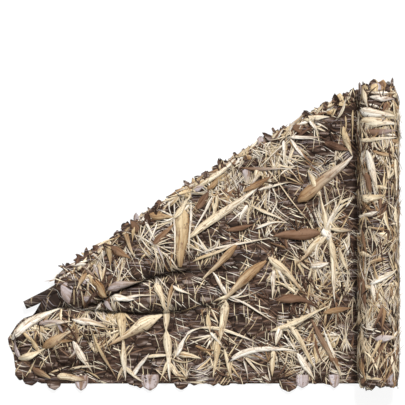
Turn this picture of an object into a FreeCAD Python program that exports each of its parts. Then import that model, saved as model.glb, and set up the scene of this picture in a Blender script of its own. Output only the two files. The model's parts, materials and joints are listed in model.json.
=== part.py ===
"""Rolled leaf-cut blind cover, as a parametric FreeCAD document in millimetres.

A bolt of camouflage cover cloth lies on the ground. Its right-hand part is wound on a card core, its left-hand
part is drawn out flat with the upper corner folded under along a diagonal, and the loose end is bunched up.
The cloth is one base cloth with die-cut leaf strips laid side by side along it, each sewn along its upper edge.

Frame: +X from the loose end to the roll, +Y along the roll's axis, +Z up. The origin is at the middle of the
overall box, on the ground.
"""

import FreeCAD, Part
import math
import os
import Sketcher

V = FreeCAD.Vector
ALONG_Y = V(0, 1, 0)
UP = V(0, 0, 1)

# alias, value (mm, or a plain number), what it is
DIMENSIONS = [
    ("half_span", 928.0, "half of the overall length along X"),
    ("cloth_width", 1420.0, "width of the cloth, selvedge to selvedge"),
    ("cloth_thick", 1.5, "base cloth"),
    ("roll_loft", 11.0, "loft of a leaf strip on the roll"),
    ("flat_loft", 9.0, "loft of a leaf strip on the ground"),
    ("layer_gap", 0.1, "between the base cloth and what lies on it"),
    ("strip_count", 10, "leaf strips across the cloth"),
    ("strip_gap", 2.0, "between neighbouring leaf strips"),
    ("thread_size", 0.8, "stitching, across"),
    ("core_radius", 28.5, "card core, outside"),
    ("bore_radius", 25.4, "card core, inside"),
    ("first_wrap", 30.5, "middle of the cloth on the first half turn"),
    ("wrap_pitch", 14.0, "growth of the roll's radius in one turn"),
    ("half_turns", 10, "half turns of cloth on the core"),
    ("crease_bend", 12.0, "radius of the cloth at the foot of the roll"),
    ("crease_reach", 22.0, "lead-off past the roll's side, along the ground"),
    ("seam_gap", 1.0, "between the parts of the cloth that move apart"),
    ("sheet_low", -704.0, "lower edge of the sheet, along Y"),
    ("sheet_high", 690.0, "where the diagonal fold meets the roll, along Y"),
    ("fold_low_x", -685.0, "a second point of the diagonal fold, along X"),
    ("fold_low_y", -188.0, "the same point, along Y"),
    ("fold_gap", 2.5, "between the two layers at the fold"),
    ("leaf_inset", 8.0, "leaf strips short of the sheet's outline"),
    ("seam_x", -470.0, "where the loose end folds, along X"),
    ("bulge_high", 52.0, "height of the loose end's lower bulge"),
    ("ridge_high", 40.0, "height of the loose end's upper ridge"),
    ("valley_y", -356.0, "valley between bulge and ridge, along Y"),
    ("shoulder", 5.0, "loose end's leaf strips short of the ground, in degrees of arc"),
    ("tip_high", 130.0, "loose end: valley to the tip's upper corner, along Y"),
    ("tip_low", 200.0, "loose end: valley to the tip's lower corner, along Y"),
    ("notch_deep", 90.0, "loose end: depth of the notch at the valley, along X"),
    ("tail_long", 170.0, "loose end: slope from the tip to the lower edge, along X"),
]


def make_dimensions(doc):
    """The spreadsheet of driving dimensions, and the same values as a dictionary."""
    cells = doc.addObject("Spreadsheet::Sheet", "dims")
    for row, (alias, value, note) in enumerate(DIMENSIONS, start=1):
        cells.set(f"A{row}", note)
        cells.set(f"B{row}", str(value))
        cells.setAlias(f"B{row}", alias)
    doc.recompute()
    return {alias: float(cells.get(alias)) for alias, _, _ in DIMENSIONS}


def derive(d):
    """Sizes and places that follow from the driving dimensions."""
    d["strip_pitch"] = d["cloth_width"] / d["strip_count"]
    d["strip_width"] = d["strip_pitch"] - d["strip_gap"]
    d["last_wrap"] = d["first_wrap"] + (d["half_turns"] - 1) * d["wrap_pitch"] / 2
    d["half_cloth"] = d["cloth_thick"] / 2
    d["skin"] = d["half_cloth"] + d["layer_gap"]
    d["roll_z"] = d["last_wrap"] - d["wrap_pitch"] / 2 + d["skin"] + d["roll_loft"]
    d["roll_x"] = d["half_span"] - d["roll_z"]
    d["lead_x"] = d["roll_x"] - d["wrap_pitch"] / 2 - d["last_wrap"]
    d["side_x"] = d["lead_x"] - d["skin"] - d["roll_loft"]
    d["sheet_right"] = d["lead_x"] - d["crease_reach"]
    d["under_z"] = d["flat_loft"] + d["layer_gap"]
    d["top_z"] = d["under_z"] + d["cloth_thick"] + d["fold_gap"]
    d["leaf_z"] = d["top_z"] + d["cloth_thick"] + d["layer_gap"]
    d["fold_slope"] = (d["sheet_high"] - d["fold_low_y"]) / (d["side_x"] - d["fold_low_x"])
    d["fold_angle"] = math.degrees(math.atan(d["fold_slope"]))


def fold_x(d, y):
    """Where the diagonal fold is at a height y."""
    return d["side_x"] + (y - d["sheet_high"]) / d["fold_slope"]


def fold_y(d, x):
    """Where the diagonal fold is at a distance x."""
    return d["sheet_high"] + (x - d["side_x"]) * d["fold_slope"]


def strip_low(d, index):
    """Lower edge of leaf strip 1, 2, ... along Y."""
    return -d["cloth_width"] / 2 + (index - 1) * d["strip_pitch"] + d["strip_gap"] / 2


def strip_numbers(d):
    """1, 2, ... for the leaf strips across the cloth."""
    return range(1, int(d["strip_count"]) + 1)


def thread_y(d, index):
    """Lower face of the stitching along strip number index's upper edge, in the gap between two strips."""
    return strip_low(d, index) + d["strip_width"] + (d["strip_gap"] - d["thread_size"]) / 2


# Bands: closed faces between two offsets of a chain of arcs, extruded along Y


def arc_edges(arcs, offset):
    """The arcs, each (centre x, centre z, radius, start, end) in degrees, at an offset outwards."""
    edges = []
    for x, z, radius, start, end in arcs:
        angles = map(math.radians, (start, (start + end) / 2, end))
        reach = radius + offset
        points = [V(x + reach * math.cos(a), 0, z + reach * math.sin(a)) for a in angles]
        edges.append(Part.Arc(*points).toShape())
    return edges


def band(arcs, inner, outer, low, width):
    """A solid between two offsets of a chain of arcs, from y = low over a width."""
    near = arc_edges(arcs, inner)
    far = arc_edges(arcs, outer)
    start = Part.makeLine(near[0].Vertexes[0].Point, far[0].Vertexes[0].Point)
    end = Part.makeLine(near[-1].Vertexes[-1].Point, far[-1].Vertexes[-1].Point)
    wire = Part.Wire(Part.__sortEdges__([*near, *far, start, end]))
    solid = Part.Face(wire).extrude(ALONG_Y * width)
    solid.translate(ALONG_Y * low)
    return solid


def polygon(points, height, thick):
    """A polygon of (x, y) points at a height, extruded upwards."""
    corners = [V(x, y, height) for x, y in points]
    return Part.Face(Part.makePolygon(corners + corners[:1])).extrude(UP * thick)


# Document objects


def feature(doc, node, shape):
    """A Part::Feature with a shape of its own, labelled with its node's name."""
    item = doc.addObject("Part::Feature", node)
    item.Shape = shape
    item.Label = node
    return item


def prism(doc, name, points, height, thick):
    """A sketched polygon extruded upwards; thick is an expression on the spreadsheet."""
    sketch = doc.addObject("Sketcher::SketchObject", name + "_outline")
    sketch.Placement = FreeCAD.Placement(V(0, 0, height), FreeCAD.Rotation())
    for start, end in zip(points, points[1:] + points[:1]):
        sketch.addGeometry(Part.LineSegment(V(*start, 0), V(*end, 0)), False)
    solid = doc.addObject("Part::Extrusion", name)
    solid.Base = sketch
    solid.DirMode = "Custom"
    solid.Dir = UP
    solid.Solid = True
    solid.setExpression("LengthFwd", thick)
    return solid


def row_box(doc, index):
    """A box as wide as leaf strip number index, and larger than the sheet along X and Z."""
    box = doc.addObject("Part::Box", f"row_{index}")
    box.setExpression("Length", "2 * dims.half_span")
    box.setExpression("Width", "dims.cloth_width / dims.strip_count - dims.strip_gap")
    box.setExpression("Height", "dims.half_span")
    box.setExpression("Placement.Base.x", "-dims.half_span")
    low = f"({index - 1} / dims.strip_count - 0.5) * dims.cloth_width + dims.strip_gap / 2"
    box.setExpression("Placement.Base.y", low)
    return box


# The roll


def make_core(doc, d):
    """The card core: a ring padded both ways along Y."""
    body = doc.addObject("PartDesign::Body", "core_tube")
    sketch = body.newObject("Sketcher::SketchObject", "core_ring")
    plane = next(o for o in body.Origin.OriginFeatures if o.Role == "XZ_Plane")
    sketch.AttachmentSupport = (plane, "")
    sketch.MapMode = "FlatFace"
    for index, alias in enumerate(("core_radius", "bore_radius")):
        sketch.addGeometry(Part.Circle(V(0, 0, 0), UP, d[alias]), False)
        sketch.addConstraint(Sketcher.Constraint("Coincident", index, 3, -1, 1))
        number = sketch.addConstraint(Sketcher.Constraint("Radius", index, d[alias]))
        sketch.setExpression(f"Constraints[{number}]", f"dims.{alias}")
    pad = body.newObject("PartDesign::Pad", "core_length")
    pad.Profile = sketch
    pad.SideType = "Symmetric"
    pad.setExpression("Length", "dims.cloth_width")
    body.Placement = FreeCAD.Placement(V(d["roll_x"], 0, d["roll_z"]), FreeCAD.Rotation())
    return [body]


def spiral_arcs(d):
    """The wound cloth: half turns under and over the core, whose two centres lie half a pitch apart."""
    arcs = []
    for turn in range(int(d["half_turns"])):
        radius = d["first_wrap"] + turn * d["wrap_pitch"] / 2
        if turn % 2 == 0:
            arcs.append((d["roll_x"], d["roll_z"], radius, 180, 360))
        else:
            arcs.append((d["roll_x"] - d["wrap_pitch"] / 2, d["roll_z"], radius, 0, 180))
    return arcs


def make_wound_cloth(doc, d):
    """The wound base cloth, its leaf strips and their stitching, each a spiral band."""
    arcs = spiral_arcs(d)
    cloth = band(arcs, -d["half_cloth"], d["half_cloth"], -d["cloth_width"] / 2, d["cloth_width"])
    made = [feature(doc, "rolled_base_cloth", cloth)]
    for index in strip_numbers(d):
        strip = band(arcs, d["skin"], d["skin"] + d["roll_loft"], strip_low(d, index), d["strip_width"])
        made.append(feature(doc, f"rolled_leaf_strip_{index:02d}", strip))
    top = d["skin"] + d["thread_size"]
    lines = [thread_y(d, index) for index in strip_numbers(d)][:-1]
    threads = [band(arcs, d["skin"], top, low, d["thread_size"]) for low in lines]
    made.append(feature(doc, "rolled_stitching", Part.Compound(threads)))
    return made


def make_lead_off(doc, d):
    """The cloth that falls from the side of the roll and turns along the ground, with its leaf strips."""
    width = d["sheet_high"] - d["sheet_low"]
    bend_x = d["lead_x"] - d["crease_bend"]
    bend_z = d["top_z"] + d["half_cloth"] + d["crease_bend"]
    fall_corner = V(d["lead_x"] - d["half_cloth"], d["sheet_low"], bend_z)
    fall = Part.makeBox(d["cloth_thick"], width, d["roll_z"] - bend_z - d["strip_gap"], fall_corner)
    bend = [(bend_x, bend_z, d["crease_bend"], 270, 360)]
    turn = band(bend, -d["half_cloth"], d["half_cloth"], d["sheet_low"], width)
    foot_corner = V(d["sheet_right"], d["sheet_low"], d["top_z"])
    foot = Part.makeBox(bend_x - d["sheet_right"], width, d["cloth_thick"], foot_corner)
    cloth = fall.fuse([turn, foot]).removeSplitter()

    foot_z = bend_z + d["crease_bend"]
    tall = d["roll_z"] - foot_z - d["strip_gap"]
    strips = []
    for index in strip_numbers(d):
        low = max(strip_low(d, index), d["sheet_low"])
        high = min(strip_low(d, index) + d["strip_width"], d["sheet_high"])
        strips.append(Part.makeBox(d["roll_loft"], high - low, tall, V(d["side_x"], low, foot_z)))
    leaves = Part.Compound(strips)
    return [feature(doc, "lead_off_base_cloth", cloth), feature(doc, "lead_off_leaf_strips", leaves)]


# The sheet on the ground


def sheet_outline(d, inset):
    """The flat sheet: the seam to the left, the roll to the right, the diagonal fold above."""
    slant = inset / math.cos(math.radians(d["fold_angle"]))
    left = d["seam_x"] + max(inset, d["seam_gap"])
    right = d["sheet_right"] - max(inset, d["seam_gap"])
    low = d["sheet_low"]
    return [(left, low), (right, low), (right, fold_y(d, right) - slant), (left, fold_y(d, left) - slant)]


def corner_outline(d):
    """The corner folded under: the flat cloth's upper corner mirrored about the fold, down to the roll's foot."""
    left = d["seam_x"] + 2 * d["leaf_inset"]
    right = d["sheet_right"] - 2 * d["leaf_inset"]
    turned = math.radians(2 * d["fold_angle"])
    above = d["cloth_width"] / 2 - fold_y(d, left)
    corner = (left + above * math.sin(turned), fold_y(d, left) - above * math.cos(turned))
    return [(left, fold_y(d, left)), corner, (right, fold_y(d, right))]


def fold_bend(d):
    """The half-round bend that joins the two layers along the diagonal."""
    radius = (d["fold_gap"] + d["cloth_thick"]) / 2
    left, *_, right = corner_outline(d)
    bend = band([(0, 0, radius, -90, 90)], -d["half_cloth"], d["half_cloth"], 0, math.dist(left, right))
    bend.rotate(V(0, 0, 0), UP, d["fold_angle"] + 90)
    bend.translate(V(*right, d["under_z"] + d["half_cloth"] + radius))
    return bend


def make_sheet(doc, d):
    """The sheet's base cloth in two layers joined by the diagonal fold, its leaf strips and stitching."""
    top = prism(doc, "sheet_top", sheet_outline(d, 0), d["top_z"], "dims.cloth_thick")
    under = prism(doc, "sheet_under", corner_outline(d), d["under_z"], "dims.cloth_thick")
    cloth = doc.addObject("Part::MultiFuse", "sheet_base_cloth")
    cloth.Shapes = [top, under, feature(doc, "sheet_fold", fold_bend(d))]
    made = [cloth]

    outline = sheet_outline(d, d["leaf_inset"])
    leaves = prism(doc, "sheet_leaves", outline, d["leaf_z"], "dims.flat_loft")
    threads = []
    left, right = outline[0][0], outline[1][0]
    for index in strip_numbers(d):
        strip = doc.addObject("Part::Common", f"sheet_leaf_strip_{index:02d}")
        strip.Base = leaves
        strip.Tool = row_box(doc, index)
        made.append(strip)
        low = thread_y(d, index)
        start = max(left, fold_x(d, low) + 2 * d["leaf_inset"])
        if start < right:
            size = d["thread_size"]
            threads.append(Part.makeBox(right - start, size, size, V(start, low, d["leaf_z"])))
    made.append(feature(doc, "sheet_stitching", Part.Compound(threads)))
    return made


def make_folded_corner(doc, d):
    """The leaf strips under the folded corner. They face the ground, mirrored about the fold."""
    slab = polygon(corner_outline(d), 0, d["flat_loft"])
    reach = 2 * d["half_span"]
    strips = []
    for index in range(-int(d["strip_count"]), int(d["strip_count"])):
        box = Part.makeBox(2 * reach, d["strip_width"], d["flat_loft"], V(-reach, index * d["strip_pitch"], 0))
        box.rotate(V(0, 0, 0), UP, 2 * d["fold_angle"])
        box.translate(V(d["seam_x"], d["sheet_low"], 0))
        strips += slab.common(box).Solids
    return [feature(doc, "folded_corner_leaf_strips", Part.Compound(strips))]


# The loose end


def arch(low, high, rise):
    """One arc over the ground from y = low to y = high, as (centre y, centre z, radius, start, end)."""
    half = (high - low) / 2
    radius = (half * half + rise * rise) / (2 * rise)
    swing = math.degrees(math.asin(half / radius))
    return ((low + high) / 2, rise - radius, radius, 90 - swing, 90 + swing)


def end_outline(d):
    """The loose end's outline, from the seam round the bunched tip."""
    right = d["seam_x"] - d["seam_gap"]
    tip = -d["half_span"]
    return [
        (right, d["sheet_low"]),
        (right, fold_y(d, right)),
        (d["fold_low_x"], d["fold_low_y"]),
        (tip + d["notch_deep"], d["valley_y"]),
        (tip, d["valley_y"] - d["tip_high"]),
        (tip, d["valley_y"] - d["tip_low"]),
        (tip + d["tail_long"], d["sheet_low"]),
    ]


def end_band(d, arc, inner, outer, slab):
    """A band over one arch of the loose end, extruded along X and cut to the outline above the ground."""
    solid = band([arc], inner, outer, 0, d["half_span"] + d["seam_x"])
    solid.rotate(V(0, 0, 0), UP, 90)
    solid.translate(V(d["seam_x"], 0, 0))
    return solid.common(slab)


def make_loose_end(doc, d):
    """The bunched loose end: a lower bulge and an upper ridge, two leaf strips on each, and stitching."""
    slab = polygon(end_outline(d), 0, 2 * d["bulge_high"])
    bulge = arch(d["sheet_low"], d["valley_y"], d["bulge_high"])
    ridge = arch(d["valley_y"], fold_y(d, d["seam_x"]), d["ridge_high"])
    cloth = [end_band(d, arc, -d["half_cloth"], d["half_cloth"], slab) for arc in (bulge, ridge)]
    made = [feature(doc, "loose_end_base_cloth", cloth[0].fuse(cloth[1]))]

    threads = []
    top = d["skin"] + d["flat_loft"]
    for y, z, radius, start, end in (bulge, ridge):
        middle = (start + end) / 2
        gap = math.degrees(d["strip_gap"] / 2 / radius)
        halves = [(start + d["shoulder"], middle - gap), (middle + gap, end - d["shoulder"])]
        for first, last in halves:
            strip = end_band(d, (y, z, radius, first, last), d["skin"], top, slab)
            made.append(feature(doc, f"loose_end_leaf_strip_{len(made):02d}", strip))
        turn = math.degrees(d["thread_size"] / 2 / radius)
        line = (y, z, radius, middle - turn, middle + turn)
        threads += end_band(d, line, d["skin"], d["skin"] + d["thread_size"], slab).Solids
    made.append(feature(doc, "loose_end_stitching", Part.Compound(threads)))
    return made


# Checks and files


def check(doc, nodes):
    """Stops if an object failed, or if a sub-part's shape is empty or invalid."""
    for item in doc.Objects:
        if {"Invalid", "Error"} & set(item.State):
            raise RuntimeError(f"{item.Name} failed: {item.State}")
    for item in nodes:
        shape = item.Shape
        if shape.isNull() or not shape.isValid() or shape.Volume <= 0:
            raise RuntimeError(f"{item.Label} has no valid solid")


def main():
    """Builds the document and writes one STEP file per sub-part."""
    doc = FreeCAD.newDocument("blind_cover")
    d = make_dimensions(doc)
    derive(d)
    nodes = []
    for maker in (make_core, make_wound_cloth, make_lead_off, make_sheet, make_folded_corner, make_loose_end):
        nodes += maker(doc, d)
    doc.recompute()
    check(doc, nodes)
    os.makedirs("parts", exist_ok=True)
    for item in nodes:
        item.Shape.exportStep(os.path.join("parts", item.Label + ".step"))
        box = item.Shape.BoundBox
        litres = item.Shape.Volume / 1e6
        print(f"{item.Label:28s}{len(item.Shape.Solids):3d} solids {litres:8.3f} l  {box}")
    for name in ("roll_x", "roll_z", "lead_x", "side_x", "sheet_right", "last_wrap", "fold_angle"):
        print(name, round(d[name], 3))


main()
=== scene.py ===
"""Looks of the rolled leaf-cut blind cover: printed cloth, flat and on its card core, with die-cut leaves.

Cloth coordinates are used throughout: s runs along the cloth and t across it, in metres. On the ground s is
X and t is Y. Past the crease s goes on up the lead-off and then round the roll, from its outer wrap inwards.
"""
import json
import math

import bpy
import numpy as np
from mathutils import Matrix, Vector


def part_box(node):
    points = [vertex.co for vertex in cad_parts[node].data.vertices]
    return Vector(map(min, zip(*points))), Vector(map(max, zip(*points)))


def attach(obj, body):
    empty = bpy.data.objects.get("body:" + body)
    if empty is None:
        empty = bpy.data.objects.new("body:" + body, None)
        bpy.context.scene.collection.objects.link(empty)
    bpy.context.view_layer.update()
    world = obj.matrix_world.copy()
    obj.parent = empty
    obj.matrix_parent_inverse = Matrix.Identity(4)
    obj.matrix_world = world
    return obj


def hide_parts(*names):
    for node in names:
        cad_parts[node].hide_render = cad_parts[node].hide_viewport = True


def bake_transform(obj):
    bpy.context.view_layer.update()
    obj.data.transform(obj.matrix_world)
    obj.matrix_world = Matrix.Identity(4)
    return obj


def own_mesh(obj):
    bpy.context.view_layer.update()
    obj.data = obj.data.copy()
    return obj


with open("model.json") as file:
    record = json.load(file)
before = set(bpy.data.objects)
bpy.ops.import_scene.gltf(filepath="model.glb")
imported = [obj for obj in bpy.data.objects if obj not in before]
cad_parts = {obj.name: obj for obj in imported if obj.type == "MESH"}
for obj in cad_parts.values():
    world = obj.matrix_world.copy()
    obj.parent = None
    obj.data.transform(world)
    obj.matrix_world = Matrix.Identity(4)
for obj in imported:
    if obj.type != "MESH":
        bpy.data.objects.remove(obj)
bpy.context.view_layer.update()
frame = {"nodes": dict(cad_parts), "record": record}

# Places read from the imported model

mounts = {mount["name"]: mount for mount in frame["record"]["mounts"]}
ROLL_X, _, ROLL_Z = mounts["core_bore"]["pos_m"]
sheet_low, sheet_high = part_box("sheet_base_cloth")
lead_low, lead_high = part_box("lead_off_base_cloth")
lead_leaf_low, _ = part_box("lead_off_leaf_strips")
wound_low, wound_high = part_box("rolled_base_cloth")
STRIPS = sum(name.startswith("sheet_leaf_strip") for name in frame["nodes"])
END_STRIPS = sum(name.startswith("loose_end_leaf_strip") for name in frame["nodes"])

SEAM_X = sheet_low.x
CREASE_X = sheet_high.x
LOW_Y = sheet_low.y
HALF_WIDTH = wound_high.y
STRIP_PITCH = 2 * HALF_WIDTH / STRIPS

# The roll and the lead-off

CLOTH = 0.0015
LEAF_THICK = 0.0006
YARN = 0.0006
HALF_TURNS = 10
WRAP_PITCH = (ROLL_X - wound_low.x) - (wound_high.x - ROLL_X)
WRAP_RADIUS = ((ROLL_X - wound_low.x) + (wound_high.x - ROLL_X) - CLOTH) / 2
BEND = 0.012
LEAD_X = lead_high.x - CLOTH / 2
BEND_X = LEAD_X - BEND
BEND_Z = lead_low.z + CLOTH / 2 + BEND
LEAD_S = BEND_X + BEND * math.pi / 2
WOUND_S = LEAD_S + ROLL_Z - BEND_Z
WRAP_RADII = WRAP_RADIUS - WRAP_PITCH / 2 * np.arange(HALF_TURNS)
WRAP_STARTS = WOUND_S + np.concatenate([[0], np.cumsum(WRAP_RADII * math.pi)])
TUCK = 1.6 * WRAP_PITCH
TUCKED_S = WOUND_S + TUCK * math.pi / 2

# The diagonal fold, and the upper corner mirrored about it

FOLD_TOP = np.array([lead_leaf_low.x, lead_high.y])
FOLD_END = np.array([-0.685, -0.188])
FOLD_RUN, FOLD_RISE = FOLD_TOP - FOLD_END
FOLD_ANGLE = math.atan2(FOLD_RISE, FOLD_RUN)
FOLD_OUT = np.array([-math.sin(FOLD_ANGLE), math.cos(FOLD_ANGLE)])
UNDER_Z = 0.005
GROUND_GAP = 0.003
LAYER = 0.009

# The loose end: its left-hand outline as Y then X, the rolled tail of the diagonal's edge, and the two
# valleys between its three humps as X, Y

END_Y = np.array([-0.704, -0.675, -0.620, -0.550, -0.490, -0.450, -0.400, -0.365, -0.345, -0.320, -0.280])
END_X = np.array([-0.775, -0.850, -0.900, -0.908, -0.930, -0.935, -0.895, -0.845, -0.795, -0.720, -0.700])
TAIL_ROOT = np.array([-0.600, -0.218])
TAIL_TIP = np.array([-0.854, -0.330])
TAIL_RADIUS = 0.0235
UPPER_VALLEY = np.array(
    [[-0.87, -0.360], [-0.69, -0.300], [-0.60, -0.312], [-0.476, -0.286], [-0.40, -0.243], [-0.265, -0.190],
     [-0.15, -0.160], [0.00, -0.165], [0.30, -0.150]]
)
LOWER_VALLEY = np.array(
    [[-0.62, -0.330], [-0.45, -0.345], [-0.30, -0.355], [-0.10, -0.345], [0.05, -0.320], [0.30, -0.340]]
)
VALLEY_GAP = 0.02
LEAN = 0.030
PRESS_Z = 0.010
END_S = -0.92
JUST_UNDER = 1e-6


def smooth(x):
    """0 below 0, 1 above 1, and 3x^2 - 2x^3 between."""
    x = np.clip(x, 0, 1)
    return x * x * (3 - 2 * x)


def ripples(s, t, seed, size):
    """A sum of nine sine waves in random directions, of wavelengths about size: mostly between -1 and 1."""
    rng = np.random.default_rng(seed)
    turn, phase = rng.uniform(0, 2 * math.pi, (2, 9))
    rate = 2 * math.pi / (size * rng.uniform(0.6, 1.8, 9))
    total = 0
    for a, p, k in zip(turn, phase, rate):
        total = total + np.sin(k * (s * math.cos(a) + t * math.sin(a)) + p)
    return total / 4


def fold_y(x):
    """The diagonal fold's Y: a straight line bowed upwards, with a step down to the tail at its end."""
    u = (x - FOLD_END[0]) / FOLD_RUN
    bow = 0.036 * np.sin(math.pi * np.clip(u, 0, 1))
    return FOLD_END[1] + u * FOLD_RISE + bow - 0.024 * smooth((-0.655 - x) / 0.05)


def fold_radius(x):
    """Radius of the rolled-under edge: tight at the roll, fuller towards the loose end."""
    return 0.007 + 0.013 * smooth((0.45 - x) / 1.1)


def past_fold(x, y):
    """Distance beyond the fold line; negative inside the sheet."""
    return (y - fold_y(x)) * math.cos(FOLD_ANGLE)


def corner_depth(x, y):
    """How far a point is inside the folded corner's two free edges."""
    above = HALF_WIDTH - fold_y(SEAM_X)
    start = np.array([SEAM_X, fold_y(SEAM_X)])
    tip = start + above * np.array([math.sin(2 * FOLD_ANGLE), -math.cos(2 * FOLD_ANGLE)])
    depth = np.inf
    for p, q in ((start, tip), (tip, FOLD_TOP)):
        edge = (q - p) / np.linalg.norm(q - p)
        depth = np.minimum(depth, edge[0] * (y - p[1]) - edge[1] * (x - p[0]))
    return depth


def valleys(x):
    """Y of the two valleys. At the loose end the lower one runs close under the upper one."""
    upper = np.interp(x, *UPPER_VALLEY.T)
    lower = np.interp(x, *LOWER_VALLEY.T)
    joined = upper - VALLEY_GAP
    return upper, np.where(x < LOWER_VALLEY[0, 0], joined, np.minimum(lower, joined))


def hump(share, skew):
    """A rounded hump over 0 to 1, the sine of pi times share to the power skew. A low skew moves the crest
    towards 0 and makes the hump steep there."""
    return np.sin(math.pi * np.clip(share, 0, 1) ** skew)


def slump(x, y):
    """How far the cloth leans down over each valley, as a Gaussian just above it. It sharpens the creases."""
    return LEAN * sum(
        np.exp(-(((y - valley - 0.022) / 0.027) ** 2)) * smooth((fades - x) / 0.35)
        for valley, fades in zip(valleys(x), (0.12, 0.22))
    )


def dusk(s, t):
    """Painted shade along the two valleys, where the cloth creases: strongest along each valley, falling off
    as a
    Gaussian, and fading to the right."""
    depth = 0
    for valley, fades, wide in zip(valleys(s), (0.25, 0.30), (0.026, 0.030)):
        near = np.exp(-(((t - valley - 0.4 * wide) / wide) ** 2))
        depth = np.maximum(depth, near * smooth((fades - s) / 0.45))
    return np.where(s < BEND_X, depth * (0.8 + 0.2 * ripples(s, t, 9, 0.08)).clip(0, 1), 0)


def top_height(x, y):
    """Height of the cloth's upper layer over the ground.

    A flat layer, one layer higher over the folded corner, plus: a Gaussian shoulder up to the rolled edge
    along the fold, three humps with narrow valleys between them, pleats that run to the loose end's tip,
    random ripples, and a lift to the foot of the roll.
    """
    radius = fold_radius(x)
    q = past_fold(x, y)
    z = GROUND_GAP + LAYER * smooth(corner_depth(x, y) / 0.03 + 0.5)

    upper, lower = valleys(x)
    loose = smooth((-0.12 - x) / 0.42)
    drawn = smooth((0.25 - x) / 0.50)
    z = z + loose * 0.038 * hump((y - LOW_Y) / (lower - LOW_Y), 1.7)
    z = z + drawn * 0.030 * hump((y - lower) / (upper - lower), 0.55)
    z = z + drawn * 0.036 * hump((y - upper) / (fold_y(x) - upper), 0.45)
    pleats = np.sin(26 * np.arctan2(y + 0.42, x + 1.25) + 3 * ripples(x, y, 5, 0.4))
    z = z + 0.007 * pleats * smooth((-0.30 - x) / 0.3) * smooth((y - LOW_Y) / 0.05)
    z = z + 0.0028 * (1 + ripples(x, y, 3, 0.16)) + 0.0014 * ripples(x, y, 4, 0.05)

    shoulder = np.exp(-(((-q - radius) / 0.040) ** 2))
    z = z + (UNDER_Z + 2 * radius - z) * shoulder
    for valley, fades in ((upper, 0.15), (lower, 0.25)):
        groove = np.exp(-(((y - valley) / 0.010) ** 2)) * smooth((fades - x) / 0.30)
        z = z - 0.8 * (z - GROUND_GAP) * groove

    tip = smooth((x - np.interp(y, END_Y, END_X)) / 0.05)
    z = np.where(y < upper, GROUND_GAP + (z - GROUND_GAP) * tip, z)
    z = np.where(y < LOW_Y + 0.02, np.minimum(z, GROUND_GAP + 0.4 * np.abs(y - LOW_Y + 0.01)), z)
    foot = smooth((x - CREASE_X + 0.07) / 0.07)
    return z + (BEND_Z - BEND - z) * foot


def place(s, t, rise, free=0.0):
    """Cloth coordinates and a rise over the printed face, to X, Y, Z.

    On the ground: (s, t, height + rise) up to one radius inside the diagonal, then round a half circle square
    to the fold, then back under the sheet. A leaf that is free goes straight out past the fold by that share
    instead. In the bend at the foot of the roll: a quarter circle about the bend's centre. Then straight up,
    and then half circles of falling radius about two centres half a pitch apart, tighter towards the roll's
    two ends, with slight ripples. Anything nearer the floor than PRESS_Z is pressed towards it, as an
    exponential that never reaches it.
    """
    s, t, rise, free = np.broadcast_arrays(s, t, rise, free)
    fold = fold_radius(s)
    past = np.where(s < BEND_X, past_fold(s, t) + fold, 0)
    past = np.where(past > 0, past * (1 - free), past)
    round_fold = np.clip(past / fold, 0, math.pi)
    lift = rise * (1 - 0.75 * smooth(round_fold / math.pi))
    shift = (fold + lift) * np.sin(round_fold) - np.clip(past, 0, math.pi * fold)
    shift = shift - 2 * np.clip(past - math.pi * fold, 0, None)
    edge_z = UNDER_Z + fold + (fold + lift) * np.cos(round_fold)
    ground_z = np.where(past > 0, edge_z, top_height(s, t) + rise)
    lean = np.where((s < BEND_X) & (past < 0), slump(s, t), 0) * smooth(-past / 0.03)

    turn = np.clip((s - BEND_X) / BEND, 0, math.pi / 2)
    wrap = np.clip(np.searchsorted(WRAP_STARTS, s, side="right") - 1, 0, HALF_TURNS - 1)
    radius = WRAP_RADII[wrap]
    over = wrap % 2 == 0
    angle = np.where(over, math.pi, 0) - (s - WRAP_STARTS[wrap]) / radius
    centre = ROLL_X - np.where(over, WRAP_PITCH / 2, 0)
    squeeze = np.where(t > 0, 0.40, 0.10) * smooth((np.abs(t) - HALF_WIDTH + 0.09) / 0.10)
    drawn = 1 - squeeze * (1 + np.cos(angle)) / 2
    reach = WRAP_RADII[-1] + (radius - WRAP_RADII[-1]) * drawn - 0.004 + 0.7 * rise
    reach = reach + 0.0018 * ripples(s, t, 6, 0.2)
    stretches = [s < BEND_X, s < LEAD_S, s < WOUND_S]
    x = np.select(
        stretches,
        [s + shift * FOLD_OUT[0], BEND_X + (BEND - rise) * np.sin(turn), LEAD_X - rise],
        centre + reach * np.cos(angle),
    )
    z = np.select(
        stretches,
        [ground_z, BEND_Z - (BEND - rise) * np.cos(turn), BEND_Z + s - LEAD_S],
        ROLL_Z + reach * np.sin(angle),
    )
    pressed = PRESS_Z * np.exp(np.minimum(z / PRESS_Z - 1, 0))
    return np.stack([x, t + shift * FOLD_OUT[1] - lean, np.where(z < PRESS_Z, pressed, z)], axis=-1)


def over_roll(x):
    """The s that shows at X from above on the outer wrap: the arc from the roll's near side to it."""
    across = (x - ROLL_X + WRAP_PITCH / 2) / WRAP_RADIUS
    return WOUND_S + WRAP_RADIUS * (math.pi - np.arccos(np.clip(across, -1, 1)))


# Colours, in sRGB from 0 to 255


def linear(red, green, blue):
    """An sRGB colour as linear light."""
    value = np.array([red, green, blue]) / 255
    return np.where(value <= 0.04045, value / 12.92, ((value + 0.055) / 1.055) ** 2.4)


TONES = {
    "pale": linear(255, 250, 238),
    "straw": linear(244, 231, 202),
    "tan": linear(222, 201, 162),
    "gold": linear(174, 143, 106),
    "brown": linear(134, 104, 82),
    "umber": linear(88, 64, 52),
    "lilac": linear(194, 184, 186),
    "shade": linear(22, 15, 12),
    # Multiplied into the leaves: their darker edges and fibres, and the painted shade on one half of each
    # leaf.
    "reed_tone_and_shade": linear(190, 166, 138),
}


# Node helpers and shared groups


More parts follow.
